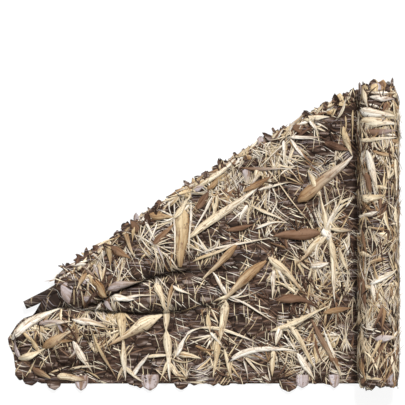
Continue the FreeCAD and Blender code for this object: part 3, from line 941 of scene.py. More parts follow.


# The boldest leaves of the print, listed one by one: root X, Y, tip X, Y, width, bend, root tone, tip tone

BOLD = [
    # Loose end
    (-0.915, -0.495, -0.600, -0.325, 0.044, -0.95, "pale", "straw"),
    (-0.750, -0.315, -0.590, -0.325, 0.030, 0.30, "straw", "lilac"),
    (-0.800, -0.420, -0.630, -0.410, 0.030, -0.20, "lilac", "straw"),
    (-0.630, -0.400, -0.460, -0.440, 0.032, -0.30, "pale", "tan"),
    (-0.885, -0.585, -0.755, -0.535, 0.032, 0.50, "straw", "straw"),
    (-0.770, -0.535, -0.625, -0.450, 0.046, -0.20, "gold", "straw"),
    (-0.625, -0.503, -0.532, -0.652, 0.032, 0.05, "pale", "straw"),
    (-0.526, -0.478, -0.417, -0.683, 0.014, 0.10, "tan", "brown"),
    (-0.820, -0.630, -0.730, -0.680, 0.030, 0.10, "brown", "tan"),
    (-0.700, -0.670, -0.560, -0.690, 0.034, -0.20, "straw", "brown"),
    (-0.650, -0.640, -0.500, -0.620, 0.014, -0.30, "straw", "pale"),
    (-0.560, -0.180, -0.610, -0.260, 0.022, 0.20, "gold", "straw"),
    (-0.530, -0.210, -0.460, -0.270, 0.034, 0.10, "gold", "tan"),
    (-0.820, -0.490, -0.770, -0.570, 0.022, 0.30, "tan", "straw"),
    # Under the valley, up to the middle stalk
    (-0.440, -0.285, -0.330, -0.297, 0.024, 0.20, "pale", "pale"),
    (-0.480, -0.290, -0.412, -0.358, 0.015, 0.05, "lilac", "pale"),
    (-0.460, -0.238, -0.270, -0.190, 0.036, -0.40, "lilac", "tan"),
    (-0.380, -0.290, -0.230, -0.280, 0.010, 0.10, "pale", "tan"),
    (-0.400, -0.355, -0.388, -0.510, 0.042, 0.10, "tan", "straw"),
    (-0.388, -0.490, -0.376, -0.690, 0.028, 0.00, "straw", "pale"),
    (-0.385, -0.620, -0.418, -0.695, 0.018, 0.10, "straw", "tan"),
    (-0.380, -0.625, -0.290, -0.698, 0.022, 0.30, "straw", "pale"),
    (-0.345, -0.668, -0.265, -0.562, 0.021, 0.00, "pale", "pale"),
    (-0.200, -0.375, -0.460, -0.527, 0.064, 0.15, "straw", "gold"),
    (-0.236, -0.228, -0.182, -0.335, 0.036, 0.10, "straw", "straw"),
    (-0.154, -0.230, -0.182, -0.335, 0.022, -0.10, "gold", "straw"),
    (-0.184, -0.320, -0.184, -0.470, 0.038, 0.00, "straw", "straw"),
    (-0.184, -0.450, -0.166, -0.695, 0.036, 0.05, "straw", "pale"),
    (-0.160, -0.580, -0.215, -0.695, 0.022, 0.10, "straw", "tan"),
    (-0.172, -0.600, -0.110, -0.695, 0.024, -0.10, "straw", "straw"),
    (-0.142, -0.575, -0.078, -0.462, 0.028, -0.15, "pale", "pale"),
    (-0.090, -0.475, -0.015, -0.440, 0.014, -0.60, "pale", "straw"),
    (-0.140, -0.568, -0.018, -0.586, 0.030, -0.35, "straw", "straw"),
    (-0.275, -0.580, -0.150, -0.570, 0.018, -0.40, "straw", "pale"),
    (-0.160, -0.235, -0.060, -0.280, 0.016, 0.40, "pale", "straw"),
    (-0.165, -0.365, -0.020, -0.305, 0.006, -0.20, "tan", "tan"),
    # Upper left, by the diagonal
    (-0.108, 0.130, -0.118, -0.155, 0.066, 0.03, "tan", "gold"),
    (-0.147, 0.100, -0.143, -0.120, 0.012, 0.00, "pale", "straw"),
    (-0.066, 0.160, -0.077, -0.118, 0.013, 0.02, "pale", "straw"),
    (-0.150, 0.075, -0.065, 0.190, 0.030, 0.05, "straw", "straw"),
    (-0.060, 0.212, 0.180, 0.388, 0.040, 0.03, "straw", "pale"),
    (0.010, 0.215, 0.090, 0.290, 0.030, 0.10, "gold", "tan"),
    (-0.055, 0.212, -0.005, 0.232, 0.026, 0.00, "lilac", "lilac"),
    (-0.040, 0.120, 0.020, 0.215, 0.038, 0.10, "brown", "umber"),
    (0.036, 0.186, -0.060, 0.006, 0.013, 0.02, "pale", "pale"),
    (0.060, 0.190, 0.052, 0.105, 0.016, 0.10, "straw", "tan"),
    (-0.246, -0.048, -0.145, 0.058, 0.034, 0.05, "brown", "gold"),
    (-0.272, 0.088, -0.145, 0.084, 0.032, -0.10, "gold", "tan"),
    (-0.283, 0.063, -0.238, -0.021, 0.013, 0.05, "pale", "pale"),
    (-0.227, 0.057, -0.274, -0.058, 0.008, -0.05, "pale", "straw"),
    (-0.227, -0.046, -0.190, -0.132, 0.011, 0.00, "lilac", "pale"),
    (-0.385, 0.036, -0.330, -0.112, 0.026, 0.20, "gold", "straw"),
    (-0.335, 0.045, -0.345, -0.035, 0.018, 0.00, "tan", "gold"),
    (-0.455, -0.048, -0.350, -0.112, 0.038, 0.10, "brown", "gold"),
    (-0.532, -0.082, -0.474, -0.146, 0.010, 0.10, "pale", "pale"),
    (-0.455, -0.020, -0.448, -0.150, 0.022, 0.05, "tan", "gold"),
    # Middle
    (-0.085, -0.022, 0.275, 0.243, 0.044, -0.05, "straw", "pale"),
    (0.180, 0.205, 0.330, 0.285, 0.032, -0.10, "gold", "brown"),
    (0.240, 0.205, 0.410, 0.250, 0.016, -0.40, "pale", "straw"),
    (0.195, 0.315, 0.200, 0.232, 0.036, 0.05, "lilac", "straw"),
    (0.255, 0.310, 0.225, 0.238, 0.030, 0.05, "straw", "lilac"),
    (0.162, 0.320, 0.415, 0.316, 0.018, 0.10, "brown", "pale"),
    (0.280, 0.328, 0.522, 0.034, 0.007, 0.03, "straw", "tan"),
    (0.200, 0.142, 0.160, 0.064, 0.022, 0.05, "pale", "pale"),
    (0.063, 0.175, 0.024, 0.052, 0.018, 0.10, "straw", "tan"),
    (0.212, 0.142, 0.400, 0.052, 0.017, -0.20, "straw", "pale"),
    (0.240, 0.030, 0.405, 0.055, 0.013, -0.70, "pale", "straw"),
    (0.311, 0.092, 0.345, 0.170, 0.010, 0.30, "pale", "straw"),
    (-0.058, -0.118, 0.170, -0.026, 0.016, 0.20, "tan", "pale"),
    (0.160, -0.036, -0.020, -0.218, 0.036, 0.05, "gold", "straw"),
    (-0.024, -0.088, 0.350, -0.014, 0.013, -0.35, "pale", "straw"),
    (0.100, 0.020, 0.230, 0.050, 0.026, 0.10, "brown", "brown"),
    (0.290, -0.122, 0.058, -0.328, 0.044, 0.05, "gold", "straw"),
    (0.105, -0.285, 0.030, -0.166, 0.019, 0.10, "pale", "pale"),
    (0.105, -0.285, 0.036, -0.300, 0.014, 0.10, "straw", "tan"),
    (0.105, -0.285, 0.345, -0.430, 0.012, -0.40, "pale", "straw"),
    (0.095, -0.300, 0.068, -0.510, 0.042, -0.08, "straw", "straw"),
    (0.066, -0.480, 0.038, -0.680, 0.032, 0.05, "tan", "straw"),
    (0.012, -0.375, 0.024, -0.465, 0.022, 0.00, "tan", "straw"),
    (-0.030, -0.441, 0.255, -0.518, 0.020, -0.60, "straw", "pale"),
    (0.023, -0.460, 0.096, -0.542, 0.015, 0.05, "pale", "tan"),
    (0.090, -0.540, 0.130, -0.690, 0.020, 0.05, "straw", "tan"),
    # Right, with the star
    (0.440, 0.158, 0.700, 0.372, 0.052, 0.10, "gold", "pale"),
    (0.655, 0.515, 0.700, 0.372, 0.030, 0.20, "tan", "straw"),
    (0.548, 0.010, 0.318, -0.006, 0.060, 0.12, "brown", "brown"),
    (0.577, 0.000, 0.542, 0.215, 0.024, 0.05, "straw", "straw"),
    (0.550, 0.180, 0.488, 0.300, 0.030, -0.10, "straw", "tan"),
    (0.572, 0.020, 0.648, 0.165, 0.018, -0.20, "pale", "straw"),
    (0.640, 0.150, 0.702, 0.180, 0.015, -0.30, "straw", "pale"),
    (0.590, 0.030, 0.700, 0.022, 0.022, 0.10, "straw", "brown"),
    (0.580, 0.000, 0.432, -0.140, 0.044, 0.05, "straw", "gold"),
    (0.590, 0.010, 0.636, -0.182, 0.024, 0.10, "straw", "tan"),
    (0.600, -0.030, 0.615, -0.326, 0.030, 0.02, "straw", "pale"),
    (0.560, 0.030, 0.600, -0.030, 0.044, 0.00, "pale", "pale"),
    (0.500, -0.150, 0.590, -0.130, 0.036, 0.20, "pale", "pale"),
    (0.635, -0.060, 0.690, -0.200, 0.018, 0.10, "straw", "straw"),
    (0.404, 0.455, 0.480, 0.356, 0.018, 0.05, "pale", "pale"),
    (0.372, 0.450, 0.374, 0.335, 0.018, 0.00, "pale", "straw"),
    (0.400, 0.464, 0.560, 0.466, 0.018, 0.20, "pale", "brown"),
    (0.492, 0.560, 0.542, 0.474, 0.024, 0.10, "pale", "straw"),
    (0.470, 0.545, 0.590, 0.560, 0.026, -0.20, "straw", "pale"),
    (0.548, 0.598, 0.622, 0.640, 0.032, 0.10, "straw", "gold"),
    (0.400, 0.440, 0.520, 0.330, 0.020, 0.10, "gold", "brown"),
    (0.560, 0.440, 0.690, 0.400, 0.040, 0.05, "umber", "brown"),
    (0.300, -0.105, 0.462, -0.270, 0.034, -0.25, "straw", "gold"),
    (0.326, -0.165, 0.320, -0.306, 0.022, 0.15, "pale", "straw"),
    (0.346, -0.165, 0.408, -0.272, 0.013, -0.10, "pale", "straw"),
    (0.335, -0.312, 0.542, -0.352, 0.042, -1.00, "brown", "umber"),
    (0.560, -0.372, 0.700, -0.346, 0.032, -0.30, "gold", "brown"),
    (0.310, -0.456, 0.600, -0.328, 0.024, 0.10, "straw", "straw"),
    (0.360, -0.428, 0.334, -0.524, 0.032, 0.00, "pale", "straw"),
    (0.372, -0.470, 0.438, -0.556, 0.011, 0.00, "pale", "pale"),
    (0.388, -0.405, 0.518, -0.632, 0.026, -0.10, "straw", "tan"),
    (0.110, -0.600, 0.440, -0.552, 0.034, -0.85, "pale", "pale"),
    (0.322, -0.545, 0.318, -0.672, 0.024, 0.00, "straw", "tan"),
    (0.436, -0.560, 0.520, -0.688, 0.030, -0.10, "pale", "straw"),
    (0.505, -0.400, 0.652, -0.682, 0.024, -0.05, "brown", "straw"),
    (0.560, -0.440, 0.650, -0.670, 0.014, 0.00, "pale", "straw"),
    (0.590, -0.560, 0.640, -0.640, 0.032, 0.00, "brown", "gold"),
    # Over the roll
    (0.735, 0.590, 0.900, 0.562, 0.044, 0.20, "pale", "straw"),
    (0.735, 0.535, 0.905, 0.522, 0.044, -0.15, "straw", "pale"),
    (0.750, 0.490, 0.905, 0.495, 0.028, 0.20, "brown", "lilac"),
    (0.735, 0.448, 0.905, 0.464, 0.018, 0.20, "straw", "pale"),
    (0.776, 0.652, 0.895, 0.642, 0.028, 0.00, "pale", "lilac"),
    (0.745, 0.690, 0.770, 0.600, 0.030, 0.10, "straw", "pale"),
    (0.765, 0.400, 0.815, 0.205, 0.038, 0.10, "pale", "straw"),
    (0.785, 0.398, 0.905, 0.368, 0.022, 0.10, "gold", "straw"),
    (0.760, 0.295, 0.782, 0.200, 0.036, 0.00, "brown", "brown"),
    (0.745, 0.165, 0.850, 0.190, 0.044, 0.20, "straw", "tan"),
    (0.895, 0.360, 0.900, 0.180, 0.022, 0.00, "straw", "pale"),
    (0.895, 0.140, 0.902, -0.020, 0.022, 0.00, "straw", "straw"),
    (0.776, -0.232, 0.905, -0.155, 0.034, 0.10, "pale", "straw"),
    (0.788, -0.225, 0.802, -0.322, 0.024, 0.00, "pale", "straw"),
    (0.745, -0.200, 0.760, -0.370, 0.030, 0.00, "brown", "umber"),
    (0.840, -0.455, 0.772, -0.615, 0.022, 0.00, "tan", "straw"),
    (0.800, -0.490, 0.905, -0.480, 0.034, 0.00, "lilac", "pale"),
    (0.735, -0.575, 0.760, -0.690, 0.036, 0.00, "gold", "tan"),
    (0.880, -0.560, 0.895, -0.695, 0.024, 0.00, "straw", "pale"),
    (0.740, 0.030, 0.765, -0.090, 0.030, 0.00, "brown", "gold"),
]


def bold_leaves():
    """The bold leaves as a leaf set: direction and length from their two ends, on the cloth."""
    ends = np.array([row[:6] for row in BOLD])
    root, tip = (np.where(x > BEND_X, over_roll(x), x) for x in (ends[:, 0], ends[:, 2]))
    run, climb = tip - root, ends[:, 3] - ends[:, 1]
    half_bend = np.abs(ends[:, 5]) / 2 + 1e-6
    return leaf_set(
        root,
        ends[:, 1],
        np.arctan2(climb, run),
        np.hypot(run, climb) * half_bend / np.sin(half_bend),
        ends[:, 4],
        bend=ends[:, 5],
        blunt=rng.uniform(0.12, 0.35, len(BOLD)),
        taper=rng.uniform(0.45, 0.80, len(BOLD)),
        dim=np.full(len(BOLD), 0.25),
        lift=rng.uniform(0.0080, 0.0105, len(BOLD)),
        arch=np.full(len(BOLD), 0.003),
        curl=np.full(len(BOLD), 0.001),
        ridge=np.full(len(BOLD), 0.06),
        twist=rng.normal(0, 0.30, len(BOLD)),
        root=np.array([TONES[row[6]] for row in BOLD]),
        tip=np.array([TONES[row[7]] for row in BOLD]),
    )


TONGUE = (0.088, 0.074)
UP_DOWN = [math.pi / 2, -math.pi / 2]
SLANTED = [0.6, 0.6 - math.pi, 2.3, 2.3 - math.pi, math.pi / 2, -math.pi / 2]


def meeting_places(reach=0.04, least=4, apart=0.07):
    """The bold leaves' ends on the sheet that have at least so many ends within reach, their own included,
    the fullest first and none close to another."""
    ends = np.array([row[k : k + 2] for row in BOLD for k in (0, 2)])
    gaps = np.hypot(*(ends[:, None] - ends[None]).transpose(2, 0, 1))
    crowd = (gaps < reach).sum(axis=1)
    places = []
    for i in np.argsort(-crowd, kind="stable"):
        full = ends[i, 0] < CREASE_X and crowd[i] >= least
        if full and all(np.hypot(*(ends[i] - kept)) > apart for kept in places):
            places.append(ends[i])
    return np.array(places)


def stars(each=13):
    """Long thin arcs that spread from the places where the bold leaves meet."""
    s, t = np.repeat(meeting_places(), each, axis=0).T
    count = len(s)
    return leaf_set(
        s + rng.normal(0, 0.006, count),
        t + rng.normal(0, 0.006, count),
        rng.uniform(-math.pi, math.pi, count),
        rng.uniform(0.09, 0.24, count),
        rng.uniform(0.0035, 0.0085, count),
        bend=rng.normal(0, 0.9, count),
        lift=rng.uniform(0.006, 0.009, count),
        root=tones(["pale", "straw"], count),
        tip=tones(["pale", "straw", "tan"], count),
    )


def all_blades():
    """The bold leaves, the broad random ones and the fine random ones, on the ground and on the roll."""
    ground, rolled = (END_S, CREASE_X), (WOUND_S - 0.02, WRAP_STARTS[2])
    broad, fine = [], []
    for low, high, share, main in ((*ground, 0.85, SLANTED), (*rolled, 0.74, UP_DOWN)):
        ragged, crowd = (0.004, 1.0) if low < 0 else (0.016, 1.7)
        broad += [
            tufts(int(34 * share), 1, low, high, UP_DOWN, 0.2, (0.12, 0.30), (0.007, 0.014)),
            tufts(int(crowd * 46), 4, low, high, main, 0.7, (0.09, 0.22), (0.005, 0.014)),
            tufts(
                int(crowd * 22), 3, low, high, main, 0.5, (0.07, 0.20), (0.008, 0.022),
                root=of("brown", "gold", "umber"), tip=of("brown", "umber"),
                curl=lambda n: ragged * rng.uniform(-0.2, 1, n),
            ),
        ]
        fine += [
            tufts(
                int(120 * share), 7, low, high, main, 0.55, (0.09, 0.21), (0.0024, 0.0058),
                root=of("pale", "straw", "straw"), tip=of("pale", "straw", "tan"),
                curl=lambda n: ragged * rng.uniform(0, 1, n),
            ),
            tufts(
                int(64 * share), 5, low, high, main, 0.6, (0.08, 0.19), (0.0028, 0.0075),
                root=of("gold", "tan", "brown"), tip=of("brown", "tan", "umber"),
            ),
            fans(int(34 * share), 11, low, high, (0.07, 0.16)),
            tufts(
                int(64 * share), 4, low, high, main, 0.6, (0.05, 0.16), (0.003, 0.010),
                root=of("shade", "umber"), tip=of("shade", "umber", "brown"),
                lift=lambda n: rng.uniform(0.006, 0.009, n),
            ),
        ]
    broad.append(
        tufts(
            100, 1, *rolled, [0, math.pi], 0.35, (0.06, 0.18), (0.010, 0.030),
            root=of("pale", "straw", "gold"),
        )
    )
    broad.append(
        tufts(
            34, 5, -0.05, CREASE_X, SLANTED, 0.6, (0.08, 0.20), (0.004, 0.013),
            root=of("pale", "straw"), tip=of("pale", "straw", "tan"),
        )
    )
    broad.append(
        tufts(
            30, 4, END_S, SEAM_X, SLANTED, 0.7, (0.08, 0.18), (0.008, 0.022),
            root=of("lilac", "tan", "brown", "straw"),
            tip=of("tan", "gold", "pale", "umber"),
        )
    )
    broad.append(stars())
    fine = join(*fine)
    fine["lift"] = fine["lift"] + 0.001
    return join(bold_leaves(), edge_blades(190), side_blades(240)), join(*broad), fine


def lobe_rows(low_s, high_s, pitch, length, width):
    """Rows of broad tongues with their tips down, each row half a width out of step with the last."""
    rows = np.arange(LOW_Y + pitch * 0.6, HALF_WIDTH, pitch)
    places = np.arange(low_s, high_s, width * 0.96)
    s, t = np.meshgrid(places, rows)
    s = s + (np.arange(len(rows)) % 2)[:, None] * width / 2
    s, t = s.ravel() + rng.normal(0, 0.005, s.size), t.ravel() + rng.normal(0, 0.006, s.size)
    edge = np.interp(t, END_Y, END_X)
    fits = (s > SEAM_X) | ((past_fold(s, t) < 0.03) & (s > edge + 0.02))
    fits &= (s < CREASE_X - width / 2) | (s > CREASE_X)
    s, t = s[fits], t[fits]
    short = rng.choice([0.46, 0.48, 0.50, 0.54, 0.66], len(s))
    depth = np.where(t < LOW_Y + length, short, 1)
    count = len(s)
    lively = rng.uniform(0, 1, count) < 0.25
    return leaf_set(
        s,
        t,
        rng.normal(-math.pi / 2, 0.16, count),
        rng.normal(length, 0.006, count) * depth,
        rng.normal(width, 0.005, count),
        bend=rng.normal(0, 0.12, count),
        lift=np.full(count, 0.0012),
        arch=rng.uniform(0.0005, 0.0025, count),
        curl=np.where(lively, rng.uniform(0.003, 0.010, count), rng.uniform(0, 0.002, count)),
    )


def edge_lobes(count):
    """Tongues that stand out along the diagonal, by more or less, with their tips over the rolled edge."""
    along = rng.uniform(0.02, 0.98, count)
    s = FOLD_END[0] + along * FOLD_RUN
    inside = rng.uniform(0.020, 0.045, count)
    return leaf_set(
        s - inside * FOLD_OUT[0],
        fold_y(s) - inside * FOLD_OUT[1],
        FOLD_ANGLE + math.pi / 2 + rng.normal(0, 0.6, count),
        rng.uniform(0.045, 0.075, count),
        rng.uniform(0.014, 0.040, count),
        bend=rng.normal(0, 0.2, count),
        curl=rng.uniform(0.002, 0.030, count) * rng.uniform(0, 1, count),
        share=(rng.uniform(0, 1, count) < 0.30).astype(float),
        free=rng.uniform(0.0, 0.65, count),
        root=tones(["brown", "umber", "umber", "tan", "lilac"], count),
    )


def edge_blades(count):
    """Narrow leaves along the diagonal whose tips stand out past it, each by up to about 20 mm."""
    s = FOLD_END[0] + rng.uniform(0.01, 0.97, count) * FOLD_RUN
    inside = rng.uniform(0.004, 0.040, count)
    length = rng.uniform(0.05, 0.13, count)
    out = (inside + rng.uniform(-0.004, 0.020, count)) / length
    climb = np.arcsin(out.clip(-0.9, 0.9))
    turn = np.where(rng.uniform(0, 1, count) < 0.5, FOLD_ANGLE + climb, FOLD_ANGLE + math.pi - climb)
    return leaf_set(
        s - inside * FOLD_OUT[0],
        fold_y(s) - inside * FOLD_OUT[1],
        turn,
        length,
        rng.uniform(0.006, 0.022, count),
        bend=rng.normal(0, 0.25, count),
        free=np.ones(count),
        lift=rng.uniform(0.002, 0.008, count),
        root=tones(["straw", "tan", "gold", "brown", "pale"], count),
        tip=tones(["straw", "tan", "umber", "brown", "pale"], count),
    )


def side_blades(count):
    """Narrow leaves on the roll's far side whose tips stand off it, so that its outline is ragged."""
    far = WOUND_S + WRAP_RADIUS * math.pi
    return leaf_set(
        far + rng.uniform(-0.07, 0.03, count),
        rng.uniform(-HALF_WIDTH + 0.09, HALF_WIDTH - 0.10, count),
        rng.choice(UP_DOWN, count) + rng.normal(0, 0.7, count),
        rng.uniform(0.05, 0.11, count),
        rng.uniform(0.006, 0.018, count),
        curl=rng.uniform(0.006, 0.034, count),
        root=tones(["straw", "tan", "gold", "umber", "pale"], count),
        tip=tones(["straw", "tan", "umber", "shade", "pale"], count),
    )


def special_lobes():
    """Single tongues that show: two at the step in the diagonal, and the largest ones along the lower edge.

    The last value of a row is 1 for a plain lilac tongue and 0 for one that carries the print.
    """
    rows = np.array(
        [
            (-0.645, -0.240, 2.45, 0.078, 0.090, 0.0),
            (-0.632, -0.262, 2.70, 0.056, 0.052, 1.0),
            (-0.720, -0.665, -1.45, 0.070, 0.075, 0.0),
            (-0.585, -0.665, -1.60, 0.072, 0.060, 1.0),
            (-0.262, -0.662, -1.55, 0.075, 0.080, 1.0),
            (-0.310, -0.660, -1.50, 0.066, 0.060, 0.0),
            (0.395, -0.665, -1.55, 0.078, 0.084, 0.0),
            (0.462, -0.662, -1.60, 0.062, 0.060, 1.0),
            (0.612, -0.662, -1.55, 0.062, 0.050, 1.0),
            (0.040, -0.660, -1.60, 0.056, 0.050, 0.0),
        ]
    )
    s, t, angle, length, width, grey = rows.T
    lilac = TONES["lilac"] * np.ones((len(rows), 1))
    return leaf_set(
        s,
        t,
        angle,
        length,
        width,
        share=grey,
        free=0 * s + 1,
        root=lilac,
        bend=0 * s,
        lift=0 * s + 0.0075,
        curl=0 * s + 0.004,
        dim=0 * s,
    )


def end_lobes(count, t, facing):
    """Ragged tongues at one end of the roll, round its whole outer wrap."""
    return leaf_set(
        rng.uniform(WOUND_S, WRAP_STARTS[2], count),
        t - facing * rng.uniform(0.02, 0.05, count),
        facing * math.pi / 2 + rng.normal(0, 0.45, count),
        rng.uniform(0.036, 0.056, count),
        rng.uniform(0.030, 0.065, count),
        share=(rng.uniform(0, 1, count) < 0.5).astype(float),
        curl=rng.uniform(-0.006, 0.004, count),
        root=tones(["brown", "gold", "straw", "tan", "lilac"], count),
    )


# Pieces


def hold(piece, body, slot, *nodes):
    """Puts a piece on its body, in place of its CAD nodes. Its slot is not used."""
    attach(piece, body)
    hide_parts(*nodes)
    return piece


def wind_up(piece, *nodes, slot="leaf_cloth"):
    """A piece of the flat sheet: on the sheet's body in place of its CAD nodes, with a mesh of its own."""
    hold(piece, "sheet", slot, *nodes)
    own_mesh(piece)
    return piece


def lift_end(piece, *nodes, slot="leaf_cloth"):
    """A piece of the loose end: its placement baked into its mesh, in place of its CAD nodes."""
    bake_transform(piece)
    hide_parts(*nodes)
    return piece


def roll_on(piece, *nodes):
    """A leaf piece of the roll."""
    return hold(piece, "roll", "leaf_cloth", *nodes)


def build_sheet():
    """The flat sheet with its folded corner, as one cloth over the flat rectangle it was cut to."""
    s, t = np.meshgrid(np.linspace(SEAM_X, CREASE_X, 150), np.linspace(LOW_Y, HALF_WIDTH, 181), indexing="ij")
    piece = cloth_sheet("sheet_cloth", s, t, place(s, t, 0 * s))
    return wind_up(piece, "sheet_base_cloth", slot="base_cloth")


def build_end():
    """The loose end: rows drawn in towards its outline, up to the fold and round it."""
    u, v = np.meshgrid(np.linspace(1, 0, 64), np.linspace(0, 1.28, 110), indexing="ij")
    tip_y = LOW_Y + np.clip(v, 0, 1) * (fold_y(-0.835) - LOW_Y)
    x = SEAM_X - u * (SEAM_X - np.interp(tip_y, END_Y, END_X))
    y = LOW_Y + v * (fold_y(x) - LOW_Y)
    piece = cloth_sheet("loose_end_cloth", x, y, place(x, y, 0 * x))
    return lift_end(piece, "loose_end_base_cloth", slot="base_cloth")


def build_tail():
    """The end of the diagonal's rolled edge: a spiral that narrows inwards by an eighth each half turn."""
    k, turn = np.meshgrid(np.linspace(0, 1, 30), np.linspace(0, 3 * math.pi, 44), indexing="ij")
    run = TAIL_TIP - TAIL_ROOT
    length = np.linalg.norm(run)
    axis = run / length
    radius = TAIL_RADIUS * (1 - turn / (8 * math.pi))
    radius = radius * (1 + 0.05 * ripples(k * length, turn * 0.02, 11, 0.08))
    radius = radius * (1.08 - 0.16 * k)
    across = radius * np.cos(turn) + 0.004 * np.sin(5 * k)
    x = TAIL_ROOT[0] + length * k * axis[0] + across * axis[1]
    y = TAIL_ROOT[1] + length * k * axis[1] - across * axis[0]
    z = GROUND_GAP + 1.1 * TAIL_RADIUS + radius * np.sin(turn)
    piece = cloth_sheet("rolled_edge_tail", x, y, np.stack([x, y, z], axis=-1))
    # The whole tail darkened: mixed towards the dark shade tone by the same layer, at 0.55 all along.
    piece.data.attributes["dusk"].data.foreach_set("value", np.full(x.size, 0.55, np.float32))
    return lift_end(piece, slot="base_cloth")


def stitches(name, low_s, high_s):
    """Rows of slanting stitches, one every 10 mm, along the edges between the leaf strips.

    Each stitch is a closed square rod, 8 mm long, with narrow ends.
    """
    rows = LOW_Y + STRIP_PITCH * np.arange(1, STRIPS)
    s, t = np.meshgrid(np.arange(low_s, high_s - 0.009, 0.010), rows)
    s, t = s.ravel(), t.ravel()
    fits = (s > BEND_X) | ((past_fold(s, t) < -0.02) & (s > np.interp(t, END_Y, END_X) + 0.02))
    s, t = s[fits][:, None, None], t[fits][:, None, None]
    k = np.array([0, 0.2, 0.8, 1])[None, :, None]
    thick = 0.0008 * np.array([0.3, 1, 1, 0.3])[None, :, None]
    turn = np.arange(4)[None, None, :] * math.pi / 2
    aside = 0.002 * (k - 0.5) + thick * np.cos(turn)
    points = place(s + 0.008 * k + 0 * turn, t + aside, 0.0028 + thick * np.sin(turn))
    number = np.arange(points.size // 3).reshape(points.shape[:3])
    after = np.roll(number, -1, axis=2)
    sides = np.stack([number[:, :-1], after[:, :-1], after[:, 1:], number[:, 1:]], axis=-1).reshape(-1, 4)
    ends = np.concatenate([number[:, 0, ::-1], number[:, -1]])
    return new_piece(name, points, np.concatenate([sides, ends]), [THREAD])


def build_stitching():
    """The stitches of the sheet, the loose end and the roll's outer turn."""
    wind_up(stitches("sheet_stitches", SEAM_X, CREASE_X), "sheet_stitching", slot="thread")
    lift_end(stitches("loose_end_stitches", -0.90, SEAM_X), "loose_end_stitching", slot="thread")
    hold(stitches("rolled_stitches", WOUND_S, WRAP_STARTS[2]), "roll", "thread", "rolled_stitching")


def build_lead_off():
    """The cloth from the sheet up to the roll.

    Its top turns inwards and up, as a quarter circle. Once the roll has turned half a turn, the wrap beside
    the cloth is one pitch further off, and the top still reaches it.
    """
    up, across = np.linspace(CREASE_X, TUCKED_S, 36), np.linspace(LOW_Y, lead_high.y, 120)
    s, t = np.meshgrid(up, across, indexing="ij")
    points = place(np.minimum(s, WOUND_S - JUST_UNDER), t, 0 * s)
    turn = np.maximum(s - WOUND_S, 0) / TUCK
    points[..., 0] += TUCK * (1 - np.cos(turn))
    points[..., 2] += TUCK * np.sin(turn)
    piece = cloth_sheet("lead_off_cloth", s, t, points)
    return hold(piece, "lead_off", "base_cloth", "lead_off_base_cloth")


def build_wound():
    """The wound cloth, all its turns as one spiral."""
    s, t = np.meshgrid(
        np.linspace(WOUND_S, WRAP_STARTS[-1] - JUST_UNDER, 260),
        np.linspace(-HALF_WIDTH, HALF_WIDTH, 60),
        indexing="ij",
    )
    piece = cloth_sheet("rolled_cloth", s, t, place(s, t, 0 * s))
    return hold(piece, "roll", "base_cloth", "rolled_base_cloth")


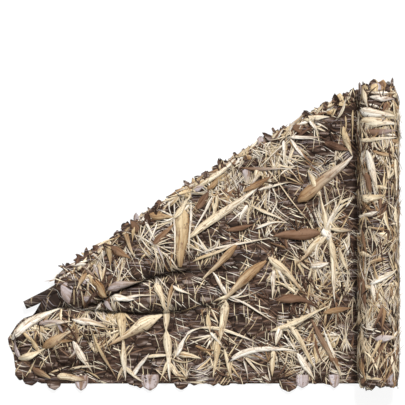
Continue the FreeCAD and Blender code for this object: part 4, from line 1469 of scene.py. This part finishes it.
def build_leaves():
    """Every leaf piece: one for each leaf strip of the CAD model, and one for the lead-off's strips."""
    bold, broad, fine = all_blades()
    # Painted shadows: a dark copy under each bold and broad leaf.
    dark = shadows(join(bold, broad))
    tongues = join(
        lobe_rows(-0.90, CREASE_X, STRIP_PITCH / 2, *TONGUE),
        lobe_rows(BEND_X + 0.03, WRAP_STARTS[2], STRIP_PITCH / 2, *TONGUE),
        edge_lobes(170),
        special_lobes(),
        end_lobes(34, HALF_WIDTH, 1),
        end_lobes(20, -HALF_WIDTH, -1),
    )
    strewn = [blades(broad, 9), blades(fine, 8), blades(pick(dark, dark["width"] > 0.009), 8)]
    made = [blades(bold, 10), lobes(tongues)] + [pick(batch, inside_outline(batch)) for batch in strewn]
    bodies = {"sheet": {}, "lead_off": {}, "roll": {}, "loose_end": {}}
    for batch in made:
        low_s = batch["s"].min(axis=(1, 2))
        middle = batch["t"].mean(axis=(1, 2))
        row = np.clip((middle + HALF_WIDTH) // STRIP_PITCH, 0, STRIPS - 1).astype(int) + 1
        reach = (fold_y(SEAM_X) - LOW_Y) / END_STRIPS
        end_row = np.clip((middle - LOW_Y) // reach, 0, END_STRIPS - 1).astype(int) + 1
        loose = low_s < SEAM_X
        wound = ~loose & (low_s >= WOUND_S - 0.012)
        lead = ~loose & ~wound & (batch["s"].mean(axis=(1, 2)) > CREASE_X)
        flat = ~loose & ~wound & ~lead
        groups = {"sheet": (flat, row), "roll": (wound, row), "loose_end": (loose, end_row)}
        groups["lead_off"] = (lead, 0 * row)
        for body, (mask, group) in groups.items():
            for number in np.unique(group[mask]):
                chosen = mask & (group == number)
                bodies[body].setdefault(int(number), []).append(pick(batch, chosen))
    pieces = {body: [] for body in bodies}
    families = [("sheet", "sheet", wind_up), ("loose_end", "loose_end", lift_end)]
    families.append(("roll", "rolled", roll_on))
    for body, name, fasten in families:
        for number, batches in sorted(bodies[body].items()):
            piece = leaf_shells(f"{name}_leaves_{number:02d}", batches)
            pieces[body].append(fasten(piece, f"{name}_leaf_strip_{number:02d}"))
    piece = leaf_shells("lead_off_leaves", bodies["lead_off"][0])
    pieces["lead_off"].append(hold(piece, "lead_off", "leaf_cloth", "lead_off_leaf_strips"))
    return pieces


# Stage


def build_stage():
    """A plain pale floor, soft light from all round, a broad lamp overhead, and a camera straight above."""
    mesh = bpy.data.meshes.new("floor")
    reach = 30.0
    corners = [(-reach, -reach, 0), (reach, -reach, 0), (reach, reach, 0), (-reach, reach, 0)]
    mesh.from_pydata(corners, [], [(0, 1, 2, 3)])
    floor = bpy.data.objects.new("floor", mesh)
    floor.location.z = -0.0005
    bpy.context.scene.collection.objects.link(floor)
    material, _, shader = new_material("pale_floor")
    shader.inputs["Base Color"].default_value = (0.14, 0.14, 0.14, 1)
    shader.inputs["Roughness"].default_value = 0.9
    shader.inputs["Emission Color"].default_value = (1, 1, 1, 1)
    shader.inputs["Emission Strength"].default_value = 0.88
    mesh.materials.append(material)

    world = bpy.data.worlds.new("studio")
    world.use_nodes = True
    world.node_tree.nodes["Background"].inputs["Color"].default_value = (1, 1, 1, 1)
    world.node_tree.nodes["Background"].inputs["Strength"].default_value = 0.46
    bpy.context.scene.world = world

    lamp = bpy.data.lights.new("overhead", "SUN")
    lamp.energy = 3.9
    lamp.angle = math.radians(12)
    holder = bpy.data.objects.new("overhead", lamp)
    holder.rotation_euler = (math.radians(-38), math.radians(12), 0)
    bpy.context.scene.collection.objects.link(holder)

    camera = bpy.data.cameras.new("camera")
    height, span = 30.0, 1.92
    camera.sensor_width = 36
    camera.lens = camera.sensor_width * height / span
    camera.clip_end = 100
    eye = bpy.data.objects.new("camera", camera)
    eye.location = (-0.012, 0.154, height)
    bpy.context.scene.collection.objects.link(eye)
    bpy.context.scene.camera = eye
    bpy.context.scene.view_settings.view_transform = "Standard"


build_stage()
sheet = build_sheet()
loose_end = build_end()
lead_off = build_lead_off()
wound = build_wound()
leaves = build_leaves()
tail = build_tail()
build_stitching()

core = frame["nodes"]["core_tube"]
core.data.materials.clear()
core.data.materials.append(CARD)
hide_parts("folded_corner_leaf_strips")
